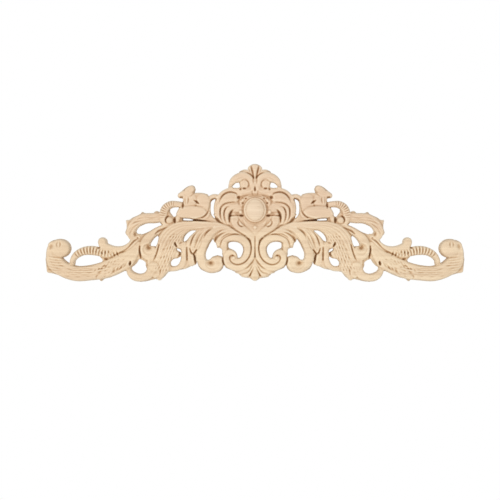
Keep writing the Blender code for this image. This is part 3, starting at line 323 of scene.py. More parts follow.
    def opening(self, knots):
        """A hole right through the board inside a closed outline."""
        window, distance = self.region(knots)
        self.inside[window] = np.minimum(self.inside[window], -distance)

    def slit(self, knots):
        """A narrow hole right through the board. Its knots are rows of x, z and half width."""
        window, _, _, across, (half_width,) = self.follow(knots, SLIT_MARGIN)
        self.inside[window] = np.minimum(self.inside[window], np.abs(across) - half_width)

    def sand(self, passes):
        """Takes out the cuts, then softens the carving by averaging neighbours on the wood."""
        self.height = np.maximum(self.height - self.cut, np.minimum(self.height, FLOOR))
        wood = (self.inside > 0.0).astype(float)
        for _ in range(passes):
            total = self.height * wood
            weight = wood
            for axis in (0, 1):
                total = total + 0.5 * (np.roll(total, 1, axis) + np.roll(total, -1, axis))
                weight = weight + 0.5 * (np.roll(weight, 1, axis) + np.roll(weight, -1, axis))
            self.height = np.where(wood > 0.0, total / np.maximum(weight, TINY), 0.0)


def boss(wood):
    """Smooth oval dome in a stepped ring."""
    wood.bead(0.0, 0.0, 14.0, 15.2, top=14.0, foot=12.0, power=14.0, root=1.0)
    wood.bead(0.0, 0.0, 13.2, 14.6, top=16.2, foot=14.2, power=8.0)
    wood.bead(0.0, 0.0, 11.6, 13.4, top=15.2, foot=14.8, power=8.0)
    wood.bead(0.0, 0.0, 10.9, 12.8, top=20.0, foot=15.4, power=2.6, root=1.7)


def cartouche(wood):
    """Crescents round the boss, the hooked stem below them and the brow above the boss."""
    wood.plate([(-8, 24), (8, 24), (20, 25), (30, 25.6), (37, 23.5), (43, 17.5), (47, 9), (48.6, 0),
                (47, -9), (42, -16), (30, -21), (14, -31), (-6, -36)])
    wood.band([(-2, 18.6, 5.0, 13.2), (10, 18.8, 4.8, 13.2), (20, 22.6, 3.6, 13.2), (29, 24, 2.9, 13.2),
               (37.4, 20.2, 3.4, 13.2), (43, 14.2, 3.0, 13.2), (46, 6.5, 2.8, 13.2),
               (46.6, -1, 2.5, 13.2), (45, -8, 2.2, 12.6), (41.8, -14.5, 1.4, 12)])
    wood.band([(24, 14.8, 5.2, 14.4), (29, 14.9, 5.6, 15.4), (35.5, 12.6, 5.2, 15.4),
               (41.2, 7, 3.8, 14.7), (43.6, 0.5, 2.2, 13.6), (43.4, -6, 1.8, 13),
               (41, -13, 1.2, 12)], FLAT_TOPPED)
    wood.band([(20, 8.2, 1.2, 11.8), (26, 7.4, 1.7, 12.8), (33, 6.0, 2.3, 13.7), (37.8, 2, 2.4, 14.1),
               (39.2, -4, 2.2, 13.8), (38.4, -10, 1.9, 13.2), (35.8, -16, 1.0, 12)])
    wood.band([(16.5, 5, 1.8, 12.2), (24, 4.2, 2.7, 13.2), (30.6, 1.6, 3, 14.1), (34, -4, 2.6, 14.1),
               (33.7, -10.5, 2.2, 13.6), (31.5, -17, 1.2, 12.5)])
    wood.band([(15.5, 0.6, 1.6, 12.5), (20, 0.6, 2.2, 13), (24.6, -2.5, 2.0, 13),
               (26.5, -6.5, 1.5, 12.5)])
    wood.band([(24.3, -9.4, 4.0, 13.6), (23.6, -14, 4.8, 14.6), (18.8, -20, 5.0, 15.2),
               (12, -25, 4.7, 15.2), (5.5, -30, 4.2, 15.2), (0, -36.5, 3.4, 14.2)], FLAT_TOPPED)
    wood.band([(0, -12, 14, 12.8), (0, -18, 11.5, 13.6), (0, -24, 8, 14.4),
               (0, -31, 3, 14.4)], rounded(2.0, 1.4))
    wood.bead(17.2, -2.4, 2.5, 2.5, top=15.0, foot=11.4)
    wood.bead(0.0, -20.8, 2.4, 2.4, top=16.4, foot=13.6)
    wood.bead(14.8, 12.0, 2.0, 2.0, top=13.2, foot=10.5)
    wood.bead(15.8, 5.2, 1.5, 1.5, top=12.8, foot=10.5)
    wood.groove([(20.6, 16.6, 0.7), (22, 19.4, 0.8), (25.6, 21.0, 0.8), (31, 21.4, 0.9), (36.4, 19, 1),
                 (40.2, 14.6, 1), (43.4, 8, 0.5)], 3.0, 1.5)
    wood.groove([(24, 9.6, 0.4), (31, 9.0, 0.7), (36.5, 7.2, 1), (40.6, 3, 1), (41.5, -3, 1),
                 (40.6, -9.5, 0.8), (38.2, -15, 0.3)], 3.0, 1.5)
    wood.groove([(29, 4.4, 0.3), (33.6, 3.4, 0.8), (36.2, -0.6, 1), (36.8, -6, 1), (35.8, -11.5, 0.8),
                 (33.6, -16, 0.3)], 2.6, 1.4)
    wood.groove([(26.4, 0.6, 0.4), (29.2, -3.6, 1.1), (30.5, -8.4, 1.1), (30.5, -14.6, 0.5)], 4.6, 1.8)
    wood.groove([(14.4, -6.6, 1), (18, -6.3, 0.9), (23, -6.2, 0.9), (29.6, -6.8, 1.2)], 3.8, 1.4)
    wood.groove([(17, -4.6, 0.5), (22, -3.6, 1), (27, -3.2, 1), (29.4, -5.8, 0.6)], 2.2, 3.4)
    wood.groove([(0, 17.0, 0.8), (6, 16.2, 0.9), (10.6, 13.6, 1), (13.6, 9, 1), (15.0, 3, 0.9),
                 (15.2, -3, 0.8), (13.6, -9, 0.7), (8.4, -14.8, 0.6), (0, -17.0, 0.5)], 1.3, 1.1)
    wood.groove([(47.5, -8.5, 1.4), (44.5, -11.8, 1.8), (41.5, -14.6, 1.2), (36, -17.3, 0.8),
                 (30.6, -18.8, 1), (26, -22.0, 1), (20, -26.0, 0.9), (12, -30.8, 0.8)], 3.4, 1.5)
    wood.groove([(0, 18.4, 1), (7, 18.0, 1), (14, 16.8, 0.9), (18.6, 15.6, 0.5)], 2.4, 3.6)
    wood.groove([(9, 17.4, 0.4), (15, 14.8, 1), (19.4, 11.4, 1), (18.6, 6.4, 0.5)], 2.4, 3.4)
    wood.pit(10.9, 14.1, 1.8, 1.3, 3.0)
    wood.pit(14.8, 8.4, 1.8, 1.3, 3.0)
    wood.pit(19.8, 15.0, 2.5, 2.6, 5.6)
    wood.pit(16.2, -6.8, 2.8, 2.0, 3.0)
    wood.groove([(18.6, -11.0, 0.4), (20.2, -14.4, 1), (18.8, -18.0, 1), (15.4, -19.6, 1),
                 (12.6, -18.4, 0.4)], 3.2, 1.4)


def palmette(wood):
    """Top leaf: a fluted crest over two leaves that arch outwards round a small volute."""
    wood.plate([(-6, 20), (10, 20), (20, 22), (21, 28), (18, 34), (12, 44), (8, 47), (5, 51), (0, 53),
                (-5, 51)])
    wood.bead(0.0, 47.4, 8.9, 7.8, top=13.4, foot=10.5, power=3.0)
    wood.band([(0, 37, 1.6, 13), (0, 45, 2.4, 14), (0, 52.0, 2.6, 13.4)])
    wood.band([(5.5, 46, 1.2, 12.5), (7, 49.6, 1.6, 13), (6, 52, 1.2, 12.2)])
    wood.band([(3.4, 41, 1.5, 12.5), (8, 45.5, 2.3, 13.4), (13, 46.5, 2.0, 13), (17.4, 45.0, 1.5, 12)])
    wood.band([(1.5, 20, 2.2, 12.8), (2.4, 28, 3.3, 14), (5.6, 35.2, 4.7, 15.2),
               (11.8, 39.7, 5.3, 15.8), (19, 39.0, 5.4, 15.4), (25.6, 34.6, 4.7, 14.4),
               (29.0, 29.2, 2.8, 13), (29.8, 25.6, 2.2, 12)], FLAT_TOPPED)
    wood.band([(4.5, 22, 1.8, 12.6), (10, 22.6, 1.8, 12.6), (16, 23.0, 1.4, 12.2)])
    wood.plate([(5, 24), (11, 23), (18.4, 25), (18.6, 31), (18.4, 34), (12, 37), (7, 34)], 12.8)
    wood.bead(12.8, 31.0, 5.6, 5.0, top=15.0, foot=13.2, power=2.4)
    wood.groove([(1.4, 38.4, 0.8), (2.8, 44.5, 1), (4.0, 49.5, 1), (4.6, 52.6, 0.6)], 3.6, 1.9)
    wood.groove([(4.8, 43.4, 0.5), (6.6, 47, 1), (7.2, 50.6, 0.5)], 2.0, 1.2)
    wood.groove([(2.6, 39.5, 1.1), (4.6, 41.8, 1), (9, 44.2, 0.8), (15.5, 44.9, 0.3)], 2.8, 1.5)
    wood.groove([(2.1, 38.2, 1), (2.1, 34.6, 1), (1.7, 30.6, 0.4)], 2.8, 1.2)
    wood.groove([(0, 28.6, 0.3), (0, 26.4, 1), (0, 24.2, 1.3), (0, 22.4, 0.7)], 3.4, 1.5)
    wood.groove([(2.0, 24.4, 0.4), (4.2, 21.8, 1), (7.0, 20.4, 0.4)], 1.6, 1.1)
    wood.groove([(4.5, 30, 0.3), (8, 36, 0.8), (14, 38.4, 0.9), (20, 37.0, 0.8),
                 (25.5, 33, 0.3)], 0.9, 1.8)
    wood.groove([(17.8, 33.8, 0.5), (13.6, 36.6, 0.9), (9.2, 35.2, 1), (7.2, 31, 1),
                 (8.6, 27.2, 0.8)], 2.0, 1.2)
    wood.groove([(1.6, 23.0, 0.6), (3.4, 20.4, 1), (2.6, 17.8, 0.5)], 1.8, 1.2)
    wood.pit(12.6, 25.9, 3.0, 1.5, 3.0)
    wood.pit(17.3, 25.0, 1.7, 2.0, 3.0)


def c_scroll(wood):
    """The large inward scroll below the boss, with its curl and the leaf that laps over it."""
    wood.plate([(-4, -30), (8, -32), (24, -24), (36, -20), (44, -22), (50, -30), (49, -37), (44, -42),
                (42, -46), (38, -50), (39, -58), (36, -67), (28, -71), (14, -70), (-4, -60)])
    wood.band([(37.2, -40, 4.0, 14.0), (36.8, -46.5, 3.8, 14.2),
               (36.0, -53, 3.0, 14.2)], FLAT_TOPPED)
    wood.band([(0, -27, 2.8, 14), (2.2, -36, 2.8, 15.2), (2.0, -44, 2.5, 15.2), (2.4, -52, 2.9, 15.2),
               (6.4, -60.6, 3.3, 15.2), (13, -66.8, 3.7, 15.2), (21, -69, 4.0, 15.2),
               (28.6, -66.4, 4.3, 15.4), (33.4, -61, 4.2, 15.6), (34.2, -55.4, 4.0, 15.6),
               (31, -50.8, 3.8, 15.4), (26.2, -50.0, 3.6, 15.2), (22.8, -53.2, 2.8, 15),
               (22.2, -57.4, 1.6, 14.4)], FLAT_TOPPED)
    wood.band([(8, -31.5, 1.8, 13.2), (16, -27.6, 2.9, 14.2), (25, -25.2, 3.4, 14.7),
               (34, -25.4, 3.3, 14.7), (41, -30, 3.1, 14.2), (44.4, -37, 2.6, 13.6),
               (44.2, -44.0, 1.2, 12)], FLAT_TOPPED)
    wood.band([(40.5, -44, 1.4, 12.8), (38.8, -39, 3.4, 14.2), (33, -34.0, 4.2, 15.2),
               (24, -33.0, 4.6, 15.8), (15, -36, 4.9, 15.8), (9.8, -42, 4.7, 15.8),
               (9.2, -49, 4.5, 15.8), (11.8, -55.6, 4.3, 15.8), (17, -60.2, 4.3, 15.8),
               (23, -61, 3.9, 15.3), (27.6, -58.8, 2.8, 14.8),
               (28.4, -55.4, 1.8, 13.8)], FLAT_TOPPED)
    wood.bead(25.4, -57.2, 2.4, 2.4, top=16.0, foot=13.6)
    wood.groove([(12, -30.4, 0.8), (6.8, -35.6, 1), (4.7, -42, 1), (4.7, -48, 1), (6.3, -54.6, 1),
                 (10, -60, 1), (15, -63.4, 1), (21, -64.9, 0.9), (26.5, -63.2, 0.9), (29.6, -59.6, 0.9),
                 (29.8, -55.8, 0.9), (27.0, -53.9, 0.7), (24.2, -54.8, 0.6),
                 (23.2, -57.6, 0.4)], 2.4, 1.0)
    wood.groove([(14, -30, 0.2), (20, -29, 0.9), (27, -29.2, 1), (34, -31.6, 1), (38.6, -35, 1),
                 (40.8, -39.6, 1), (41.6, -44, 0.4)], 3.0, 1.1)
    wood.groove([(0, -31, 0.5), (0, -35, 0.8), (0, -41, 0.7), (0, -47, 0.9), (0, -52, 1.3),
                 (0, -55.6, 0.9)], 2.2, 1.1)
    wood.groove([(37.6, -55, 0.3), (38.3, -60, 1), (36.6, -66.5, 0.9)], 7.0, 1.4)
    wood.groove([(34, -26.2, 0.3), (40, -28.4, 0.8), (44.6, -31.8, 1), (48.0, -36.6, 1.2)], 4.2, 2.3)


def second_scroll(wood):
    """The smooth outward scroll beside the large one."""
    wood.plate([(36, -21), (50, -21), (60, -25), (66, -36), (70, -48), (70, -58), (66, -69), (58, -74),
                (50, -75), (42, -73), (38, -68), (38, -57), (44, -54), (52, -54), (56, -46), (50, -34)])
    wood.band([(26, -21.4, 1.8, 13.2), (38, -20.6, 2.8, 13.8), (48, -24, 4.0, 14.8),
               (56, -31.6, 5.2, 15.6), (61.8, -41.5, 5.6, 16), (64, -52, 6.0, 16), (61.6, -62, 6.8, 16),
               (54, -68, 7.0, 16), (46.4, -66.6, 7.2, 15.7), (44.4, -60.6, 6.4, 15.3),
               (48, -58.4, 4.0, 14.2)])
    wood.bead(50.4, -63.6, 8.6, 7.6, top=15.4, foot=15.0)
    wood.pit(52.6, -63.0, 6.0, 5.0, 3.0, 20.0)
    wood.pit(52.6, -63.0, 2.4, 2.0, 1.8, 20.0)


def fronds(wood):
    """Acanthus lobes under the stem and the leaf that hangs below them."""
    wood.plate([(48, -18), (66, -20), (80, -22), (90, -30), (98, -42), (102, -56), (106, -70),
                (104, -73.2), (92, -71.8), (82, -69.6), (76, -66.8), (70.4, -64.4), (69, -56),
                (66, -44), (60, -32)])
    wood.band([(50, -19.6, 2.2, 13.2), (58, -23, 3.0, 14.2), (64.8, -31, 3.2, 14.7),
               (68, -40, 3.0, 14.2), (71.4, -48, 2.0, 12.8)])
    wood.band([(60, -21.6, 2.4, 13.2), (66.8, -26, 3.2, 14.2), (71.2, -33, 3.1, 14.6),
               (73.2, -41, 2.9, 14), (76.4, -47, 1.8, 12.8)])
    wood.band([(68, -22.4, 2.2, 13.2), (73, -28, 2.5, 13.8), (77.2, -34.6, 2.7, 14),
               (79.4, -41.5, 2.6, 13.6), (79.6, -48, 2.2, 12.8)])
    wood.band([(76.4, -51, 3.4, 13), (76.0, -58, 4.0, 14), (75.6, -64, 3.0, 13)], FLAT_TOPPED)
    wood.band([(85.2, -39, 2.8, 13.2), (84.6, -47, 3.1, 14.2), (84.8, -57, 3.4, 14.2),
               (87.6, -65.4, 3.7, 14.2), (94, -69.5, 3.2, 13.8),
               (102, -70.2, 3.0, 13.2)], FLAT_TOPPED)
    wood.band([(79.5, -62, 2.2, 12.8), (84, -68, 2.4, 12.8)])
    wood.groove([(50, -21.5, 0.5), (55, -24.6, 1), (58.6, -28.4, 1), (61.2, -33.4, 0.5)], 3.0, 1.4)
    wood.groove([(60.4, -24, 0.4), (65.4, -29.4, 0.9), (69.2, -37, 1), (72.0, -44.6, 0.6)], 2.2, 1.2)
    wood.groove([(66.2, -23.4, 0.4), (71.6, -29, 0.9), (75.2, -36, 1), (77.2, -42.6, 0.6)], 2.2, 1.2)
    wood.groove([(63, -35.4, 0.5), (64.2, -40, 0.8), (67, -45.6, 0.8), (70, -48.6, 1)], 2.0, 1.3)
    wood.groove([(69.4, -47, 0.5), (72, -50.6, 1), (74, -52.2, 1), (76, -50.4, 1),
                 (77.8, -45.6, 0.6)], 4.6, 1.5)
    wood.groove([(73, -52.6, 0.8), (72, -56, 1.1), (71.4, -60, 1.1), (70.2, -65, 0.9)], 8.0, 1.4)
    wood.groove([(81.2, -44.6, 0.8), (81.4, -52, 1), (81.0, -59.5, 0.6)], 3.2, 1.5)


def stem_leaf(wood):
    """The long stem along the wing, which spreads into the big hanging leaf."""
    wood.plate([(70, -14), (92, -16), (104, -18), (114, -24), (116, -32), (118, -44), (122, -58),
                (124, -70), (122, -80), (115, -83), (110, -81), (104, -74), (100, -66), (98, -58),
                (90, -48), (86, -36), (80, -26), (70, -22)])
    wood.band([(27, -20.4, 1.2, 12.8), (40, -18.2, 2.4, 13.8), (55, -17.4, 3.9, 15.2),
               (72, -17.8, 4.9, 15.8), (88, -19.6, 5.9, 16.2), (99, -25, 7.5, 16.4),
               (107, -34.6, 8, 16.4), (112, -46, 6.6, 15.8), (116.5, -58, 4.5, 14.8)], fluted(4, 0.3))
    wood.band([(70, -20, 3.2, 14.2), (86, -24.5, 5.6, 15.4), (96, -35, 8.2, 16.4),
               (102, -48, 8.2, 16.4), (107, -61, 9, 16), (112.5, -73, 8, 14.8),
               (114, -81, 3, 12.8)], fluted(6, 0.6, 0.03))
    wood.band([(85, -32, 2.2, 13.2), (88, -37.4, 3.3, 14), (93.5, -39.5, 3, 14.4)])
    wood.band([(86.5, -44.2, 2.2, 13.2), (91, -43, 2.3, 14), (95, -42, 2, 14.4)])
    wood.band([(96.5, -44, 2.8, 14.4), (94, -50, 3.6, 14), (96, -55.6, 3, 14)])
    wood.groove([(112, -69, 0.6), (112.6, -73, 1), (113.4, -77.5, 0.5)], 2.0, 1.3)
    wood.groove([(106.4, -57, 0.4), (107.4, -62, 0.8), (106.6, -67, 0.4)], 0.9, 1.2)
    wood.groove([(104, -20.4, 0.4), (110.5, -23, 1), (115, -25.2, 1.2), (118.4, -28.4, 0.8)], 3.4, 1.7)
    wood.groove([(114.2, -41, 0.9), (115.4, -46, 1.1), (117, -51.6, 1), (119.4, -57.4, 0.8),
                 (121, -60, 0.4)], 3.2, 1.5)
    wood.groove([(95.4, -38.4, 0.8), (94.8, -41, 1.4), (93.0, -44.0, 0.7)], 6.0, 1.3)
    wood.groove([(85.4, -37.8, 0.5), (88.4, -39.2, 1), (91, -40, 0.4)], 2.4, 1.2)
    wood.groove([(90.4, -49.6, 0.8), (89.4, -52.4, 1.2), (90.6, -55.0, 0.8)], 4.6, 1.4)


def flower(wood):
    """A half-open bloom seen from the side, with a curled petal at its top corner."""
    wood.plate([(45, 18.6), (50, 19.2), (54, 17), (58, 18.6), (62, 20.2), (67, 20.9), (71.8, 20.9),
                (71, 25), (73, 29), (77.6, 29.4), (83, 26.6), (88, 22.2), (92, 19), (91.4, 15),
                (88, 14.2), (85.9, 13), (85.6, 9.6), (90, 6), (91.4, 0), (93.4, -5), (95.6, -8.6),
                (98, -12), (96, -16), (80, -17), (56, -17), (42, -18), (40, -14), (46, -8), (53, 2),
                (52.4, 10), (49, 13), (46, 13)])
    wood.band([(44, 16.6, 2, 12.2), (49, 16.8, 2.6, 13), (54, 14.6, 2.6, 13)])
    wood.bead(62.4, 9.0, 9.0, 11.5, top=15.0, foot=12.4, power=3.0)
    wood.bead(77.6, 11.0, 8.6, 11.0, top=15.0, foot=12.4, power=3.0)
    wood.band([(58, 17.2, 2.2, 12.8), (65, 18.4, 2.4, 13.4), (72, 18.2, 2.4, 13.4)])
    wood.band([(82, 15, 4, 14.2), (80, 21.4, 4.4, 14.8), (76, 25.4, 4.2, 15.0)], FLAT_TOPPED)
    wood.band([(80, 18, 4, 14.2), (86.2, 19.4, 3.5, 14.6), (89.8, 17.4, 2.7, 14.4)], FLAT_TOPPED)
    wood.band([(56, 12, 2.4, 13.2), (55.2, 3, 2.6, 13.8), (56.6, -4.4, 2.8, 13.6), (62, -10, 2.2, 12.4)])
    wood.bead(76.4, -2.8, 18.6, 7.6, top=16.6, foot=14.8, power=2.6)
    wood.band([(84.6, 1, 2.6, 14), (89.2, -4, 3.0, 15.0), (91.8, -10, 2.6, 14.2), (92.6, -15, 1.8, 13.0)])
    wood.groove([(66.8, 7.4, 0.6), (69, 9.4, 1.2), (72.6, 11.8, 0.6)], 4.4, 1.5)
    wood.groove([(53.6, 9, 0.4), (54.4, 3, 0.8), (56.2, -2.4, 1), (59.2, -6.2, 1),
                 (63.4, -9.2, 0.7)], 2.6, 1.2)
    wood.groove([(72, 20.6, 0.8), (74.8, 18, 0.9), (78.4, 15.8, 0.5)], 1.8, 1.2)
    wood.groove([(85.6, 10, 0.9), (85.8, 6, 1.2), (86, 2.4, 0.9)], 3.6, 1.4)
    wood.groove([(61.4, 3.6, 0.6), (66, 4.8, 0.8), (75, 5.2, 0.6), (84, 4, 0.4)], 1.0, 1.4)
    wood.groove([(47.6, 12.6, 1.4), (50.4, 12, 1.4), (52.6, 8, 0.6)], 5.0, 1.8)
    wood.groove([(50, -14.8, 0.3), (56, -13.4, 0.4), (61, -12.8, 0.8), (68, -12.2, 1.1),
                 (75, -11.8, 1.2), (86, -11, 0.8)], 9.0, 1.3)
    wood.groove([(95.6, -8.6, 0.7), (95.8, -12, 1.1), (95.4, -15.4, 0.5)], 6.0, 2.2)
    wood.groove([(79.6, 16.4, 0.4), (79.2, 12, 1), (80.4, 7.4, 0.6)], 2.4, 1.1)
    wood.groove([(83, 15.6, 0.4), (83.4, 11, 1), (82.8, 6.4, 0.5)], 2.4, 1.1)
    wood.pit(88.2, 15.2, 2.6, 1.7, 3.5)


def horn(wood):
    """The ribbed horn that curls down from the bloom to the upper leaf."""
    wood.plate([(94, -15), (95, -8), (98, -5), (101, 0), (106, 2), (112, -2), (114, -10), (112, -17),
                (104, -19), (96, -18)])
    wood.band([(86.4, 6.2, 3.4, 13.2), (94, 7.2, 3.7, 14.6), (100.2, 6.8, 4.3, 15.6),
               (106.2, 3.0, 4.8, 16), (109.2, -3.2, 4.8, 16), (109.4, -9.4, 4.6, 15.6),
               (107.4, -14, 4.0, 15), (103, -16, 2.6, 13.4)], ribbed(2.6, 1.2, 0.18, 0.76))
    wood.bead(102.2, -12.2, 4.6, 4.4, top=16.0, foot=11.4)
    wood.groove([(103.2, -7.4, 0.8), (105.4, -8.8, 1.2), (106.6, -12, 0.9),
                 (105.6, -15.4, 0.5)], 3.2, 1.4)


def upper_leaf(wood):
    """The arched leaf over the second stem, with a toothed outer edge."""
    wood.plate([(110, -4), (114, -2.4), (117, -0.9), (119.4, -1.6), (121, -3.2), (127, -3.6),
                (132, -3.2), (134.6, -2.0), (136.4, -4.2), (141, -6.6), (146, -8.8), (149.8, -11.4),
                (153.8, -12), (153.4, -17), (153.4, -22), (154.8, -27), (152.6, -30.4), (148.8, -31.4),
                (148.4, -36), (142, -38), (134, -32), (138, -26), (134, -18), (124, -14), (112, -14)])
    wood.band([(110, -9, 5.0, 13.8), (120, -9.6, 6.0, 14.6), (130, -9.8, 6.2, 15),
               (138.6, -13, 6.2, 15), (145, -20, 6, 14.6), (147.6, -28, 5.4, 13.8),
               (144, -36, 3.5, 13.2)], fluted(3, 0.3))
    wood.groove([(115, -8.2, 0.3), (122.6, -9.4, 1), (131, -8.6, 0.4)], 1.8, 1.2)
    wood.groove([(133, -11.6, 0.4), (140.6, -13.9, 1), (148, -17, 0.4)], 2.0, 1.2)
    wood.groove([(139, -16.6, 0.3), (145, -21, 1), (149.4, -28, 0.4)], 1.8, 1.2)
    wood.pit(143.0, -28.4, 2.2, 4.2, 2.8)
    wood.pit(139.8, -33.2, 1.9, 1.2, 2.4, -20.0)


def second_stem(wood):
    """The stem under the upper leaf and its volute."""
    wood.plate([(98, -15.6), (110, -18.6), (120, -21.8), (128, -26.2), (136, -29), (144, -30),
                (144, -42), (142, -56), (138, -59), (128, -60.2), (119, -58), (116, -50), (116, -44),
                (124, -42.6), (122, -36), (114, -28), (104, -22)])
    wood.band([(96, -17.2, 1.8, 13.2), (108, -19.8, 2.8, 13.8), (116, -24, 4.0, 14.8),
               (123.6, -30.6, 5.6, 15.6), (129.6, -38.8, 6.4, 16), (131.6, -47, 5.8, 15.8),
               (128.4, -53.8, 5.4, 15.4), (122.6, -54, 4.8, 15), (120.6, -48.6, 3.6, 14.4),
               (123, -44.6, 2.2, 13.4)])
    wood.bead(126.2, -46.8, 7.4, 7.0, top=14.8, foot=14.4)
    wood.pit(126.4, -44.4, 6.0, 5.6, 2.6)
    wood.pit(126.4, -44.2, 3.2, 3.6, 2.6)
    wood.groove([(137, -43, 0.8), (137.4, -48, 1.1), (136.6, -53, 1.1), (136, -58, 0.7)], 4.8, 1.3)


def hook(wood):
    """The scroll that hooks round the lowest opening."""
    wood.plate([(112, -56), (118, -58), (126, -58), (127, -66), (124, -76), (119, -81), (114, -76)], 14.0)
    wood.plate([(118, -58), (130, -58), (136, -57), (142, -58), (150, -62), (153.6, -70), (152.2, -77),
                (148.4, -81.6), (142.6, -84.7), (135, -85.5), (125, -83.8), (117, -80.6)])
    wood.band([(124, -60, 4.2, 13.8), (122.6, -68, 5.8, 15), (126, -76, 5.6, 15.2),
               (134.6, -80.2, 4.9, 15.2), (143.4, -79.4, 4.9, 15), (149.2, -74.2, 3.9, 14.4),
               (150.4, -67.6, 2.2, 12.8)])
    wood.bead(120.4, -67.8, 6.2, 5.8, top=16.0, foot=14.4, power=2.4)
    wood.pit(148.6, -63.4, 1.8, 3.8, 7.0, 10.0)


def wing(wood):
    """The long leaf to the end of the board, its end volute, the ribbed spray and the bud."""
    wood.plate([(134, -32), (148, -35), (152, -40), (160, -43.6), (170, -43), (184, -44), (186, -54),
                (182, -60), (190, -66), (212, -68), (226, -64), (229.4, -58), (232, -47), (235, -36),
                (241, -36), (245.4, -39.4), (248, -44.8), (249.2, -50), (249.4, -55), (250.0, -58.5),
                (249.5, -63), (248.9, -70), (248.0, -74), (240, -76), (230, -79.4), (222, -82.8),
                (214, -84.4), (205, -84.7), (195, -83.4), (187, -82), (183.6, -84.8), (180, -82.2),
                (172, -80), (166.4, -76.4), (160, -73.2), (151, -72), (146, -66), (140, -58), (137, -46)])
    wood.bead(232.6, -45.6, 12.8, 11.4, top=17.4, foot=12.6, power=2.4)
    wood.band([(138, -41, 3.4, 13.8), (143.8, -49.4, 6.2, 15), (153, -59.0, 9.4, 15.8),
               (166, -66.4, 10.2, 15.8), (180, -71.6, 10.2, 15.8), (197, -74.8, 9.2, 15.8),
               (213, -75.6, 9.2, 15.8), (228, -70.6, 9.4, 15.8), (238, -62, 9.6, 15.8),
               (242.6, -52, 6.4, 15.8), (240.2, -43.6, 7.2, 15.8)], fluted(3, 0.15))
    wood.band([(139, -33, 2.2, 13.2), (147, -40, 3.5, 14.2), (155, -45.2, 3.6, 14.4),
               (165, -46.6, 3.6, 14.2), (174, -45.2, 4.3, 14.2), (180.8, -42, 5.3, 14.8),
               (182.0, -37.9, 5.5, 15)])
    wood.band([(160.5, -51.4, 2.2, 13.6), (166, -51.8, 3.2, 14.6), (172, -52, 4.0, 15.2),
               (180, -51.2, 4.9, 15.6), (188, -49.2, 5.4, 15.8), (196, -48.1, 5.5, 15.8),
               (205, -49.4, 5.2, 15.6), (213, -53.8, 4.5, 15), (217.4, -60, 3.5, 14.2),
               (218.6, -67, 2.8, 13.2)], ribbed(3.6, 1.5, 0.02, 0.80))
    for step in range(4):
        x, z = 152.0 + 4.4 * step, -62.0 - 2.4 * step
        wood.groove([(x, z, 0.3), (x + 3.0, z - 4.2, 1), (x + 8.0, z - 8.4, 0.3)], 1.9, 1.4)
    for step in range(4):
        x, z = 174.0 + 2.2 * step, -65.0 - 3.0 * step
        wood.groove([(x, z, 0.3), (x + 5.0, z - 1.8, 1), (x + 11.0, z - 2.6, 0.3)], 1.8, 1.3)
    for step in range(5):
        z = -66.9 - 2.5 * step
        wood.groove([(188, z + 0.6, 0.2), (197, z, 1), (208, z, 1), (217, z + 0.4, 0.9),
                     (224, z + 2.2, 0.2)], 1.5, 1.15)
    for step in range(6):
        z = -56.2 - 3.1 * step
        wood.groove([(226, z - 0.8, 0.2), (233, z - 0.6, 1), (240, z + 0.2, 1),
                     (247, z + 1.6, 0.4)], 1.3, 1.15)
    wood.groove([(232.6, -37.0, 0.4), (231.4, -40.6, 1), (232.4, -45, 0.4)], 2.2, 1.2)
    wood.groove([(234.2, -37.2, 0.4), (235.6, -40.8, 1), (234.6, -45, 0.4)], 2.0, 1.2)
    wood.pit(242.2, -43.6, 3.4, 4.2, 1.6, 15.0)
    wood.groove([(137.6, -34.0, 0.5), (143, -36.2, 1), (147, -40.2, 1), (151.4, -45.0, 0.8),
                 (156, -48.4, 0.8), (161, -51.0, 1), (166.4, -53.4, 1.1), (171, -55.8, 0.5)], 3.2, 1.4)
    for step in range(5):
        x, z = 163.6 + 4.6 * step, -51.6 + 0.3 * step
        wood.groove([(x + 1.4, z + 3.6, 0.3), (x + 0.6, z, 1), (x - 1.2, z - 2.8, 0.6)], 2.8, 1.1)
    wood.pit(185.8, -45.0, 2.3, 1.7, 5.0, -25.0)
    wood.pit(177.4, -58.4, 3.2, 1.4, 3.0, 10.0)
    wood.groove([(183.2, -73.0, 0.5), (185.4, -74.6, 1), (187.8, -74.8, 0.4)], 1.6, 1.1)
    wood.groove([(186.4, -76.8, 0.5), (188.6, -79, 1), (188.4, -81.6, 0.6)], 1.9, 1.2)


def bottom_fan(wood):
    """The small fan of lobes at the foot of the middle."""
    wood.plate([(-4, -56), (4, -56), (14, -66), (26, -70), (36, -68), (33.4, -69.4), (26, -72.6),
                (20.6, -75.4), (18, -77.6), (14.6, -80), (9.4, -80.8), (5.6, -81.6), (3, -83.6),
                (0, -84.4), (-4, -83)])
    wood.band([(0, -58, 1.6, 13.2), (0, -70, 3.6, 14.8), (0, -78.5, 4.9, 15.2), (0, -80.6, 4.0, 13.4)])
    wood.band([(1.5, -62, 1.0, 13.2), (6.0, -72, 2.6, 14.4), (11.4, -77.2, 3.1, 14.4),
               (15, -78, 1.9, 12.8)])
    wood.band([(3.4, -62, 1.0, 13.2), (9.4, -69.6, 2.8, 14.4), (16.6, -73.6, 2.7, 14),
               (22, -73.4, 1.9, 12.8)])
    wood.groove([(3.4, -66, 0.7), (6.2, -71.6, 1), (10.4, -74.8, 0.9), (15.4, -75.6, 0.3)], 2.2, 1.3)
    wood.groove([(0.8, -66, 0.5), (3.6, -73, 1), (6.6, -78.4, 0.8)], 2.2, 1.3)
    wood.groove([(1.6, -59, 0.5), (5, -64, 1), (9.4, -68.6, 0.9), (14, -71, 0.3)], 2.2, 1.4)


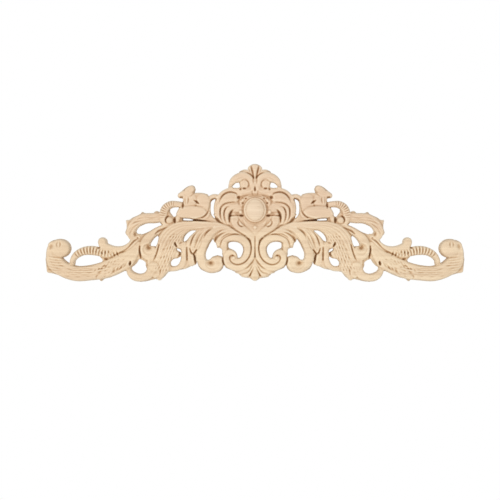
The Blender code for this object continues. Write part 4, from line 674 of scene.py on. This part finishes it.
def openings(wood):
    """Holes right through the board, from the middle outwards."""
    wood.opening([(18.6, 27.2), (18.3, 30), (19.6, 32.8), (22.6, 32.6), (25.4, 30.4), (27, 28),
                  (26, 26.9), (22, 26.8)])
    wood.opening([(14.6, -50.3), (14.3, -45.3), (16.8, -40.9), (21.3, -38.4), (26.8, -37.9),
                  (31, -38.9), (31.8, -41.9), (31, -45.1), (26.8, -46.9), (23.2, -49.5), (21.2, -53.1),
                  (20.4, -56.7), (17.6, -56.1)])
    wood.opening([(39.7, -46.8), (42.3, -45.4), (45.9, -44.8), (48.1, -41.6), (48.9, -37.8),
                  (51.7, -39.2), (55.5, -43.6), (58.3, -49.6), (58.9, -54.6), (57.5, -58.8),
                  (54.3, -58.8), (51.3, -56), (45.8, -54), (39.7, -52.6)])
    wood.opening([(70.6, -24.6), (76, -24.6), (81.5, -28), (84.7, -33), (85, -37.4), (81.6, -35.9),
                  (78, -31.6), (74, -27.8)])
    wood.opening([(88, -50.4), (88.8, -47.6), (91.4, -46), (93.6, -46), (92.8, -48), (90.2, -49.4)])
    wood.opening([(88.6, -55.6), (92.6, -57.4), (97.6, -58.6), (100.3, -61.6), (100.1, -65.8),
                  (96.6, -66.9), (92.6, -65.6), (89.6, -61.6)])
    wood.opening([(91.3, 2), (93.8, 2.9), (97.8, 2.8), (100.8, 1.2), (101.6, -1.8), (99.2, -5.4),
                  (96.6, -8.2), (94.8, -5.3), (92.8, -1.3)])
    wood.opening([(115.4, -31.6), (118.1, -31.5), (121.6, -35), (124.4, -39.5), (124.9, -42.3),
                  (121.6, -43), (118.1, -42.3), (116.1, -37.5)])
    wood.opening([(115.6, -17.5), (117.8, -16.7), (122.6, -16.7), (129.4, -16.9), (135.8, -18.4),
                  (140.2, -22), (141.8, -26), (139.8, -28.2), (135, -27.5), (129.2, -24.8),
                  (121.6, -20.2)])
    wood.opening([(130.7, -62.5), (134.2, -59.8), (138.7, -58.8), (140.7, -62), (144.2, -66),
                  (147.4, -68.3), (146.7, -71.5), (142.7, -74.4), (136.7, -75.8), (131.7, -74.2),
                  (129.2, -70.5), (130.5, -66)])
    wood.opening([(185.8, -57.8), (188.6, -55.4), (197, -53.6), (205, -54), (211, -56.8),
                  (214.6, -60.6), (214.4, -63.4), (206, -63.9), (196, -63.1), (188.4, -61)])
    wood.slit([(50.2, 10.4, 0.6), (51.6, 6, 1.1), (51.8, 0, 1.3), (50.8, -5, 1.2), (48.6, -8.6, 0.8)])
    wood.slit([(74.6, -11.8, 0.5), (78, -11.4, 1.0), (85, -11, 1.1)])


ORNAMENT = (wing, upper_leaf, second_stem, hook, fronds, flower, horn, stem_leaf, second_scroll, bottom_fan,
            cartouche, c_scroll, palmette, boss, openings)


def fine_veins(wood):
    """Veins and lines that are too fine for the solid."""
    for knots in (
        [(64, -24, 0.4), (68.4, -31, 1), (71.2, -38, 0.9), (73.6, -44, 0.3)],
        [(60, -24.6, 0.3), (63.4, -31, 1), (66.2, -38.6, 0.9), (69, -44, 0.3)],
        [(67, -24.4, 0.3), (73.4, -31.6, 1), (76.2, -38, 0.9), (77.8, -43.4, 0.3)],
        [(54, -22.4, 0.3), (60, -27.6, 1), (64, -35, 0.9), (66.4, -41, 0.3)],
        [(34, -22.8, 0.3), (42, -24.4, 0.8), (49, -29.4, 0.8), (53.6, -36, 0.3)],
        [(117, -11.4, 0.3), (124, -11, 0.9), (131, -12, 0.3)],
        [(119, -5.8, 0.3), (126, -6.2, 0.9), (133, -6.2, 0.3)],
        [(130, -9.2, 0.3), (137, -10, 1), (144, -13, 0.3)],
        [(133, -15.2, 0.3), (139, -17, 1), (144, -21.6, 0.3)],
        [(138, -8.2, 0.3), (145, -12, 1), (150.4, -16.4, 0.3)],
        [(142, -18, 0.3), (147.4, -21, 1), (151.4, -26, 0.3)],
        [(144.6, -23.6, 0.3), (148.4, -27, 0.9), (149, -32, 0.3)],
        [(132, -80.6, 0.3), (139, -81.4, 0.9), (146, -78.6, 0.3)],
        [(120, -66, 0.3), (121.6, -72, 0.8), (125.4, -77.6, 0.3)],
    ):
        wood.groove(knots, 1.0, 0.9)
    for step in range(4):
        wood.groove([(77.0 + 2.2 * step, 16.0, 0.3), (77.6 + 2.2 * step, 12.0, 1),
                     (77.4 + 2.2 * step, 8.0, 0.3)], 0.6, 0.7)
    wood.groove([(10.8, 30.4, 0.5), (11.8, 33.2, 1), (14.6, 32.6, 1), (14.8, 29.6, 0.8),
                 (12.8, 28.8, 0.5)], 0.7, 0.8)


def wing_lines(wood):
    """Short slanted cuts on the wing, in the rows in which the carver's gouge made them."""
    starts = ((162, -62.5, 7), (171, -66, 8), (180, -68.5, 8), (190, -69.6, 10), (202, -70.4, 11),
              (214, -70.0, 11), (225, -66.5, 10))
    for row, (x, z, length) in enumerate(starts):
        for step in range(3):
            left, low = x + 1.5 * step, z - 4.2 * step
            rise = 2.6 - 0.7 * row
            wood.groove([(left, low, 0.2), (left + 0.5 * length, low - 0.5 * rise - 0.7, 1),
                         (left + length, low - rise, 0.2)], 1.4, 0.9)


def wing_ticks(wood):
    """Steep short cuts between the wing's stem and its lower edge, like barbs of a feather."""
    for x, z, count in ((165.0, -58.6, 4), (176.0, -65.0, 4), (158.0, -66.0, 3)):
        for step in range(count):
            left, top = x + 4.2 * step, z - 1.5 * step
            wood.groove([(left, top, 0.3), (left + 1.4, top - 2.4, 1),
                         (left + 3.6, top - 4.4, 0.3)], 1.8, 1.0)


def barbs(wood, knots, count, length):
    """Short cuts strewn over a leaf. Its knots are rows of x, z and half width."""
    knots = np.array(knots)
    for step in range(count):
        place = (step + 0.5) / count * (len(knots) - 1)
        first = int(place)
        ahead = knots[first + 1] - knots[first]
        x, z, half_width = knots[first] + (place - first) * ahead
        along = ahead[:2] / math.hypot(ahead[0], ahead[1])
        across = np.array([-along[1], along[0]])
        side = BARB_SPREAD * (step * GOLDEN_PART % 1.0) - 0.5 * BARB_SPREAD
        start = np.array([x, z]) + side * half_width * across
        lean = along + BARB_LEAN * side * across
        wood.groove([(*start, 0.3), (*(start + 0.5 * length * lean), 1), (*(start + length * lean), 0.3)],
                    1.5, 0.9)


def leaf_barbs(wood):
    """The feathery cuts on the big hanging leaf and on the first half of the wing."""
    barbs(wood, [(90, -27, 5), (96, -35, 7), (102, -48, 7), (107, -61, 8), (111.5, -71, 7)], 44, 4.6)
    barbs(wood, [(150, -57, 6), (166, -66.4, 8), (180, -71.6, 8)], 14, 4.4)


DETAIL = (fine_veins, wing_lines, wing_ticks, leaf_barbs)


def carve(sizes):
    """The whole ornament on a grid of cells, carved and sanded."""
    wood = Carving(sizes.cell * DRAWN_LENGTH / sizes.length)
    for part in ORNAMENT + DETAIL:
        part(wood)
    wood.sand(max(1, round(SANDING_PASSES * (sizes.sanding / sizes.cell) ** 2)))
    return wood


def snap_to_outline(wood):
    """Moves each grid point that lies within half a cell of the outline onto it.

    Gives the places of the grid points, and their side: 1 on the wood, 0 on the outline, -1 off it.
    """
    inside = wood.inside
    rows, columns = inside.shape
    padded = np.pad(inside, 1, mode="edge")
    nearest_share = np.full(inside.shape, 0.5)
    move_x, move_z = np.zeros(inside.shape), np.zeros(inside.shape)
    side = np.where(inside > 0.0, 1, -1)
    for step_x, step_z in ((1, 0), (-1, 0), (0, 1), (0, -1)):
        other = padded[1 + step_z:1 + step_z + rows, 1 + step_x:1 + step_x + columns]
        crosses = (inside > 0.0) != (other > 0.0)
        share = np.where(crosses, inside / np.where(crosses, inside - other, 1.0), 1.0)
        closer = crosses & (share <= nearest_share)
        nearest_share = np.where(closer, share, nearest_share)
        move_x = np.where(closer, step_x * share * wood.cell, move_x)
        move_z = np.where(closer, step_z * share * wood.cell, move_z)
        side = np.where(closer, 0, side)
    move_x[:, 0] = 0.0
    return wood.grid_x + move_x, wood.grid_z + move_z, side


def sawn_faces(side):
    """Grid faces that lie on the wood. One that the outline cuts across keeps a triangle."""
    number = np.arange(side.size).reshape(side.shape)
    corners = np.stack([number[:-1, :-1], number[:-1, 1:], number[1:, 1:], number[1:, :-1]], axis=-1)
    corners = corners.reshape(-1, 4)
    sides = side.ravel()[corners]
    faces = corners[(sides.min(axis=1) == 0) & (sides.max(axis=1) == 1) | (sides.min(axis=1) == 1)].tolist()
    for turn in range(4):
        turned = np.roll(sides, turn, axis=1)
        cut = (turned == (-1, 0, 1, 0)).all(axis=1)
        faces += np.roll(corners, turn, axis=1)[cut, 1:].tolist()
    return faces


def rounded_heights(heights, places, on_outline, edge, rounding):
    """Heights after the carving is rounded down to the wood left at the outline."""
    outline = KDTree(int(on_outline.sum()))
    for number, place in enumerate(places[on_outline]):
        outline.insert(place, number)
    outline.balance()
    distance = np.array([outline.find(place)[2] for place in places])
    share = np.clip(distance / rounding, 0.0, 1.0)
    heights = np.where(heights > 0.0, heights, edge)
    low = np.minimum(heights, edge)
    return low + (heights - low) * np.sqrt(1.0 - (1.0 - share) ** 2)


def saw_board(wood, name, sizes):
    """The board as an object: the drawn half mirrored, with its back, sawn walls and carved face."""
    place_x, place_z, side = snap_to_outline(wood)
    faces = sawn_faces(side)
    used, renumbered = np.unique([corner for face in faces for corner in face], return_inverse=True)
    scale = sizes.length / DRAWN_LENGTH
    places = np.stack([place_x.ravel()[used], 0.0 * used, place_z.ravel()[used]], axis=1) * scale
    heights = wood.height.ravel()[used] * sizes.thickness / DRAWN_THICKNESS
    heights = rounded_heights(heights, places, side.ravel()[used] == 0, sizes.edge, sizes.rounding)
    places[:, 1] = -sizes.thickness
    corners = iter(renumbered.tolist())
    sheet = bpy.data.meshes.new(name)
    sheet.from_pydata(places, [], [[next(corners) for _ in face] for face in faces])
    sheet.attributes.new("height", "FLOAT", "POINT").data.foreach_set("value", heights)
    board = bpy.data.objects.new(name, sheet)
    bpy.context.scene.collection.objects.link(board)
    bpy.ops.object.select_all(action="DESELECT")
    board.select_set(True)
    bpy.context.view_layer.objects.active = board

    mirror = board.modifiers.new("Mirror", "MIRROR")
    mirror.merge_threshold = MERGE_SHARE * sizes.cell
    solid = board.modifiers.new("Solidify", "SOLIDIFY")
    solid.thickness = sizes.thickness
    for modifier in ("Mirror", "Solidify"):
        bpy.ops.object.modifier_apply(modifier=modifier)
    count = len(board.data.vertices)
    height = np.zeros(count)
    board.data.attributes["height"].data.foreach_get("value", height)
    spots = np.zeros(3 * count)
    board.data.vertices.foreach_get("co", spots)
    spots = spots.reshape(-1, 3)
    spots[:, 1] = np.where(spots[:, 1] < -0.5 * sizes.thickness, -height, 0.0)
    board.data.vertices.foreach_set("co", spots.ravel())
    board.data.attributes.remove(board.data.attributes["height"])
    return board


def blurred(field, weight, passes):
    """The field averaged over the wood, so many times with its four neighbours."""
    total, share = field * weight, weight.astype(float)
    for _ in range(passes):
        for axis in (0, 1):
            total = 0.5 * total + 0.25 * (np.roll(total, 1, axis) + np.roll(total, -1, axis))
            share = 0.5 * share + 0.25 * (np.roll(share, 1, axis) + np.roll(share, -1, axis))
    return total / np.maximum(share, TINY)


def mark_hollows(board, wood, sizes):
    """Stores on each point how far it lies below or above the carving round it.

    hollow and crest compare it with what is close by, shade with a ring SHADE_REACH times as wide.
    """
    on_wood = wood.inside > 0.0
    depth, wide_depth = (
        np.where(on_wood, blurred(wood.height, on_wood, round((width / sizes.cell) ** 2)) - wood.height, 0.0)
        for width in (sizes.hollow_width, SHADE_REACH * sizes.hollow_width))
    count = len(board.data.vertices)
    spots = np.zeros(3 * count)
    board.data.vertices.foreach_get("co", spots)
    spots = spots.reshape(-1, 3) * DRAWN_LENGTH / sizes.length
    column = np.clip(np.rint(np.abs(spots[:, 0]) / wood.cell).astype(int), 0, depth.shape[1] - 1)
    row = np.clip(np.rint((spots[:, 2] - wood.z[0]) / wood.cell).astype(int), 0, depth.shape[0] - 1)
    carved = spots[:, 1] < -BACK_REACH
    # painted highlight along the outline, added to the crests that stand above the carving round them
    rim = sizes.hollow_depth * np.clip(1.0 - wood.inside / HIGHLIGHT_RIM, 0.0, 1.0)
    # hollow and shade carry painted shade, crest carries painted highlight
    marks = {"hollow": depth, "shade": wide_depth / SHADE_DEPTH, "crest": np.maximum(-depth, rim)}
    for name, value in marks.items():
        level = np.where(carved, np.clip(value[row, column] / sizes.hollow_depth, 0.0, 1.0), 0.0)
        board.data.attributes.new(name, "FLOAT", "POINT").data.foreach_set("value", level)


class Value:
    """A number in a material. Arithmetic on it adds Math nodes."""

    def __init__(self, tree, socket):
        self.tree = tree
        self.socket = socket

    def maths(self, operation, *values):
        """A Math node fed with values or numbers, as a new value."""
        node = self.tree.nodes.new("ShaderNodeMath")
        node.operation = operation
        for socket, value in zip(node.inputs, values):
            if isinstance(value, Value):
                self.tree.links.new(value.socket, socket)
            else:
                socket.default_value = value
        return Value(self.tree, node.outputs[0])

    def __add__(self, other):
        return self.maths("ADD", self, other)

    def __radd__(self, other):
        return self.maths("ADD", other, self)

    def __sub__(self, other):
        return self.maths("SUBTRACT", self, other)

    def __rsub__(self, other):
        return self.maths("SUBTRACT", other, self)

    def __mul__(self, other):
        return self.maths("MULTIPLY", self, other)

    def __rmul__(self, other):
        return self.maths("MULTIPLY", other, self)

    def ramp(self, start, full):
        """0 up to start, 1 from full on, a straight rise between them. start may be the larger."""
        node = self.tree.nodes.new("ShaderNodeMapRange")
        self.tree.links.new(self.socket, node.inputs["Value"])
        node.inputs["From Min"].default_value = start
        node.inputs["From Max"].default_value = full
        return Value(self.tree, node.outputs["Result"])


class Finish:
    """A material under construction."""

    def __init__(self, name):
        self.material = bpy.data.materials.new(name)
        self.material.use_nodes = True
        self.tree = self.material.node_tree
        self.shader = self.tree.nodes["Principled BSDF"]

    def node(self, kind, settings=None, sockets=None):
        """Adds a node: first its settings, then the values or links of its sockets."""
        node = self.tree.nodes.new(kind)
        for name, value in (settings or {}).items():
            setattr(node, name, value)
        for name, value in (sockets or {}).items():
            self.feed(node.inputs[name], value)
        return node

    def feed(self, socket, value):
        """Links a value, a colour or a vector to a socket, or sets it."""
        if isinstance(value, Value):
            self.tree.links.new(value.socket, socket)
        elif isinstance(value, bpy.types.NodeSocket):
            self.tree.links.new(value, socket)
        else:
            socket.default_value = value

    def value(self, node, output=0):
        """An output of a node as a value."""
        return Value(self.tree, node.outputs[output])

    def stretched(self, scale):
        """The piece's own coordinates in metres, scaled along each axis."""
        place = self.node("ShaderNodeTexCoord").outputs["Object"]
        return self.node("ShaderNodeMapping", {}, {"Vector": place, "Scale": scale}).outputs["Vector"]

    def noise(self, scale, detail=2.0, roughness=0.5, distortion=0.0):
        """Noise between 0 and 1, stretched by the scale."""
        return self.value(self.node("ShaderNodeTexNoise", {}, {
            "Vector": self.stretched(scale), "Scale": 1.0, "Detail": detail, "Roughness": roughness,
            "Distortion": distortion}))

    def place(self, axis):
        """Distance in metres from the middle of the boss, along an axis."""
        place = self.node("ShaderNodeTexCoord").outputs["Object"]
        return self.value(self.node("ShaderNodeSeparateXYZ", {}, {"Vector": place}), axis)

    def mark(self, name):
        """A number that is stored on each point of the piece."""
        return self.value(self.node("ShaderNodeAttribute", {"attribute_name": name}), "Fac")

    def mix(self, share, first, second, blend="MIX"):
        """A colour between two."""
        node = self.node("ShaderNodeMix", {"data_type": "RGBA", "blend_type": blend, "clamp_factor": True})
        for number, value in zip(COLOUR_INPUTS, (share, first, second)):
            self.feed(node.inputs[number], value)
        return node.outputs[COLOUR_OUTPUT]


def raw_wood(colours):
    """Bare limewood, sanded: pale, with long fine grain and small pores, with painted shade in the hollows,
    on the low ground, towards the top and at the left end, and painted highlight on crests and edges.
    """
    wood = Finish("raw_wood")
    figure = wood.noise(FIGURE, detail=3.0, roughness=0.55, distortion=0.6)
    patches = wood.noise(PATCHES)
    grain = wood.noise(GRAIN, detail=3.0, roughness=0.55, distortion=0.3)
    fibres = wood.noise(FIBRES, detail=4.0, roughness=0.6)
    pores = wood.noise(PORES).ramp(0.66, 0.74)
    across, forward, up = (wood.place(axis) for axis in ("X", "Y", "Z"))
    upper_shade = (up + 0.03 * figure).ramp(*UPPER_SHADE)
    left = (across + 0.04 * figure).ramp(*LEFT_SHADE)
    on_boss = (across * across + up * up).ramp(*BOSS_TONE) * forward.ramp(*FRONT_TONE)
    hollow, shade, crest = (wood.mark(name) for name in ("hollow", "shade", "crest"))

    # Layers over the pale wood, the lowest first: strength, where it lies, its colour, how it mixes
    colour = colours.pale
    for strength, cover, tint, blend in (
        (0.75, figure.ramp(0.38, 0.66), colours.tan, "MIX"),
        (0.35, patches.ramp(0.35, 0.7), colours.pink, "MIX"),
        # painted shade: the board darker and pinker towards the top
        (0.55, upper_shade, colours.pink, "MIX"),
        # painted shade: the left end of the board darker
        (0.45, left, colours.tan, "MIX"),
        # the raised front of the boss paler
        (0.35, on_boss, colours.wear_and_highlight, "MIX"),
        (0.3, grain.ramp(0.4, 0.68), colours.fibre, "MIX"),
        (0.2, fibres.ramp(0.3, 0.7), colours.fibre, "MIX"),
        (0.3, pores, colours.fibre, "MIX"),
        # painted shade on the low ground between high bands
        (0.7, shade, colours.shade, "MULTIPLY"),
        # painted highlight on crests and along the outline, with some sanding wear
        (0.75, crest, colours.wear_and_highlight, "MIX"),
        # painted shade: grooves and pits darkened by how far they lie below the carving round them
        (0.85, hollow, colours.hollow, "MULTIPLY"),
    ):
        colour = wood.mix(strength * cover, colour, tint, blend)
    wood.feed(wood.shader.inputs["Base Color"], colour)

    roughness = colours.roughness + 0.12 * fibres + 0.12 * hollow + 0.1 * pores
    wood.feed(wood.shader.inputs["Roughness"], roughness)
    relief = 0.7 * fibres + 0.3 * figure - 0.8 * pores
    bump = wood.node("ShaderNodeBump", {}, {"Strength": 0.35, "Distance": GRAIN_BUMP, "Height": relief})
    wood.feed(wood.shader.inputs["Normal"], bump.outputs["Normal"])
    return wood.material


def plain_finish(name, colour, roughness):
    """A matt finish of one colour with a trace of unevenness."""
    paint = Finish(name)
    cloud = paint.noise(CLOUDS)
    shade = tuple(CLOUD_SHADE * share for share in colour[:3]) + (1.0,)
    paint.feed(paint.shader.inputs["Base Color"], paint.mix(cloud, colour, shade))
    paint.shader.inputs["Roughness"].default_value = roughness
    return paint.material


class AppliqueBoard(bpy.types.PropertyGroup):
    """Sizes of the board and the fineness of its carving."""
    length: bpy.props.FloatProperty(
        name="Length", description="Length over both wing ends", default=round(HIGH.x - LOW.x, 3),
        min=0.1, unit="LENGTH")
    thickness: bpy.props.FloatProperty(
        name="Thickness", description="From the flat back to the top of the boss", default=0.020,
        min=0.005, unit="LENGTH")
    edge: bpy.props.FloatProperty(
        name="Edge", description="Wood left standing at the sawn outline", default=0.0065,
        min=0.001, unit="LENGTH")
    rounding: bpy.props.FloatProperty(
        name="Rounding", description="Width over which the carving rounds down to the outline",
        default=0.0022, min=0.0005, unit="LENGTH")
    cell: bpy.props.FloatProperty(
        name="Cell", description="Spacing of the points where the carving is measured",
        default=0.0005, min=0.0003, precision=5, unit="LENGTH")
    sanding: bpy.props.FloatProperty(
        name="Sanding", description="Width over which sanding softens the carving",
        default=0.0005, min=0.0, precision=5, unit="LENGTH")
    triangles: bpy.props.IntProperty(
        name="Triangles", description="Triangles of the finished board", default=190000,
        min=5000, max=199000)
    # Hollow Width and Hollow Depth set how the painted shade in hollows and the painted highlight on crests
    # are measured
    hollow_width: bpy.props.FloatProperty(
        name="Hollow Width", description="Width round a point that its hollow is judged by",
        default=0.0013, min=0.0005, precision=4, unit="LENGTH")
    hollow_depth: bpy.props.FloatProperty(
        name="Hollow Depth", description="Depth in drawn millimetres at which a hollow is fully dark",
        default=0.9, min=0.1)


class AppliqueWood(bpy.types.PropertyGroup):
    """Colours and roughness of the bare wood, and the colours of its painted shade and painted highlight."""
    pale: bpy.props.FloatVectorProperty(
        name="Pale Wood", description="Between the darker streaks", default=(0.87, 0.70, 0.475, 1.0),
        size=4, min=0.0, max=1.0, subtype="COLOR")
    tan: bpy.props.FloatVectorProperty(
        name="Tan Streaks", description="Streaks along the grain", default=(0.73, 0.54, 0.35, 1.0),
        size=4, min=0.0, max=1.0, subtype="COLOR")
    pink: bpy.props.FloatVectorProperty(
        name="Pink Patches", description="Warmer patches in the board", default=(0.74, 0.53, 0.38, 1.0),
        size=4, min=0.0, max=1.0, subtype="COLOR")
    # painted highlight and sanding wear on crests and edges; also used to make the raised front of the boss
    # paler
    wear_and_highlight: bpy.props.FloatVectorProperty(
        name="Worn Edges", description="Crests and edges that sanding has rubbed paler",
        default=(0.96, 0.84, 0.64, 1.0), size=4, min=0.0, max=1.0, subtype="COLOR")
    fibre: bpy.props.FloatVectorProperty(
        name="Fibres", description="Fine fibres and pores", default=(0.50, 0.32, 0.19, 1.0),
        size=4, min=0.0, max=1.0, subtype="COLOR")
    # colour of the painted shade on the low ground between high bands
    shade: bpy.props.FloatVectorProperty(
        name="Low Ground", description="Tint of the ground between high bands",
        default=(0.74, 0.60, 0.44, 1.0), size=4, min=0.0, max=1.0, subtype="COLOR")
    # colour of the painted shade in the grooves and pits
    hollow: bpy.props.FloatVectorProperty(
        name="Hollows", description="Tint of the deep cuts", default=(0.41, 0.25, 0.10, 1.0),
        size=4, min=0.0, max=1.0, subtype="COLOR")
    roughness: bpy.props.FloatProperty(
        name="Roughness", description="Roughness of the smoothest wood", default=0.56,
        min=0.0, max=0.66, subtype="FACTOR")


class AppliqueStudio(bpy.types.PropertyGroup):
    """The floor, the camera and the light."""
    floor_drop: bpy.props.FloatProperty(
        name="Floor Drop", description="Distance from the middle of the boss down to the floor",
        default=0.62, min=0.1, unit="LENGTH")
    floor_side: bpy.props.FloatProperty(
        name="Floor Side", description="Side of the square floor", default=2.4, min=0.5, unit="LENGTH")
    floor_colour: bpy.props.FloatVectorProperty(
        name="Floor Colour", description="Pale matt floor", default=(0.86, 0.85, 0.83, 1.0),
        size=4, min=0.0, max=1.0, subtype="COLOR")
    floor_roughness: bpy.props.FloatProperty(
        name="Floor Roughness", description="Roughness of the floor", default=0.8,
        min=0.0, max=1.0, subtype="FACTOR")
    room_light: bpy.props.FloatProperty(
        name="Room Light", description="Strength of the light from all sides", default=0.76, min=0.0)
    view_width: bpy.props.FloatProperty(
        name="View Width", description="Width that the camera sees at the board", default=0.5952,
        min=0.1, unit="LENGTH")
    view_x: bpy.props.FloatProperty(
        name="View X", description="What the middle of the view looks at, along the board",
        default=-0.00595, precision=5, unit="LENGTH")
    view_z: bpy.props.FloatProperty(
        name="View Z", description="What the middle of the view looks at, in height",
        default=-0.0476, precision=4, unit="LENGTH")
    lens: bpy.props.FloatProperty(
        name="Lens", description="Focal length", default=0.100, min=0.02, unit="CAMERA")


class APPLIQUE_OT_board(bpy.types.Operator):
    """Carves the board, mirrors it and gives it its bare wood"""
    bl_idname = "applique.board"
    bl_label = "Carve Board"

    def execute(self, context):
        sizes = context.scene.applique_board
        wood = carve(sizes)
        board = saw_board(wood, "carved_board", sizes)
        triangles = sum(len(face.vertices) - 2 for face in board.data.polygons)
        simplify = board.modifiers.new("Decimate", "DECIMATE")
        simplify.ratio = min(1.0, sizes.triangles / triangles)
        bpy.ops.object.modifier_apply(modifier="Decimate")
        mark_hollows(board, wood, sizes)
        bpy.ops.object.shade_smooth_by_angle(angle=math.radians(SMOOTH_ANGLE))
        board.data.materials.append(raw_wood(context.scene.applique_wood))
        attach(board, "root")
        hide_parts(NODE)
        return {"FINISHED"}


class APPLIQUE_OT_studio(bpy.types.Operator):
    """Lays the pale floor, sets soft lights and places the camera"""
    bl_idname = "applique.studio"
    bl_label = "Set Up Studio"

    def lamp(self, name, place, size, watts):
        """A square soft light that faces the board."""
        bpy.ops.object.light_add(type="AREA", location=place)
        light = bpy.context.object
        light.name = name
        light.data.shape = "SQUARE"
        light.data.size = size
        light.data.energy = watts
        light.rotation_mode = "QUATERNION"
        light.rotation_quaternion = (Vector(LIT_POINT) - Vector(place)).to_track_quat("-Z", "Y")

    def execute(self, context):
        studio = context.scene.applique_studio
        bpy.ops.mesh.primitive_plane_add(size=studio.floor_side, location=(0.0, 0.0, -studio.floor_drop))
        floor = context.object
        floor.name = "studio_floor"
        finish = plain_finish("pale_floor", studio.floor_colour[:], studio.floor_roughness)
        floor.data.materials.append(finish)

        for name, place, size, watts in LAMPS:
            self.lamp(name, place, size, watts)

        world = bpy.data.worlds.new("studio_light")
        world.use_nodes = True
        nodes, links = world.node_tree.nodes, world.node_tree.links
        room = nodes["Background"]
        room.inputs["Color"].default_value = WHITE
        room.inputs["Strength"].default_value = studio.room_light
        backdrop = nodes.new("ShaderNodeBackground")
        backdrop.inputs["Color"].default_value = WHITE
        seen = nodes.new("ShaderNodeLightPath")
        join = nodes.new("ShaderNodeMixShader")
        links.new(seen.outputs["Is Camera Ray"], join.inputs[0])
        links.new(room.outputs[0], join.inputs[1])
        links.new(backdrop.outputs[0], join.inputs[2])
        links.new(join.outputs[0], nodes["World Output"].inputs[0])
        context.scene.world = world
        context.scene.view_settings.view_transform = "Standard"

        focal_length = studio.lens * 1000.0
        distance = studio.view_width * focal_length / SENSOR_WIDTH + VIEW_FRONT
        bpy.ops.object.camera_add(
            location=(studio.view_x, -distance, studio.view_z), rotation=(math.radians(90.0), 0.0, 0.0))
        camera = context.object
        camera.name = "front_camera"
        camera.data.lens = focal_length
        context.scene.camera = camera
        return {"FINISHED"}


class APPLIQUE_PT_panel(bpy.types.Panel):
    """Lists the sizes, colours and steps of the applique."""
    bl_idname = "APPLIQUE_PT_panel"
    bl_label = "Carved Applique"
    bl_space_type = "VIEW_3D"
    bl_region_type = "UI"
    bl_category = "Applique"

    def draw(self, context):
        scene = context.scene
        groups = (
            (scene.applique_board, "applique.board"),
            (scene.applique_wood, None),
            (scene.applique_studio, "applique.studio"),
        )
        for group, step in groups:
            box = self.layout.box()
            for name in group.__annotations__:
                box.prop(group, name)
            if step:
                box.operator(step)


CLASSES = (AppliqueBoard, AppliqueWood, AppliqueStudio, APPLIQUE_OT_board, APPLIQUE_OT_studio,
           APPLIQUE_PT_panel)


def register():
    for cls in CLASSES:
        bpy.utils.register_class(cls)
    bpy.types.Scene.applique_board = bpy.props.PointerProperty(type=AppliqueBoard)
    bpy.types.Scene.applique_wood = bpy.props.PointerProperty(type=AppliqueWood)
    bpy.types.Scene.applique_studio = bpy.props.PointerProperty(type=AppliqueStudio)


def unregister():
    del bpy.types.Scene.applique_studio
    del bpy.types.Scene.applique_wood
    del bpy.types.Scene.applique_board
    for cls in reversed(CLASSES):
        bpy.utils.unregister_class(cls)


def main():
    """Registers the add-on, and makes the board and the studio."""
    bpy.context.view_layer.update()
    register()
    bpy.ops.applique.studio()
    bpy.ops.applique.board()


if __name__ == "__main__":
    main()
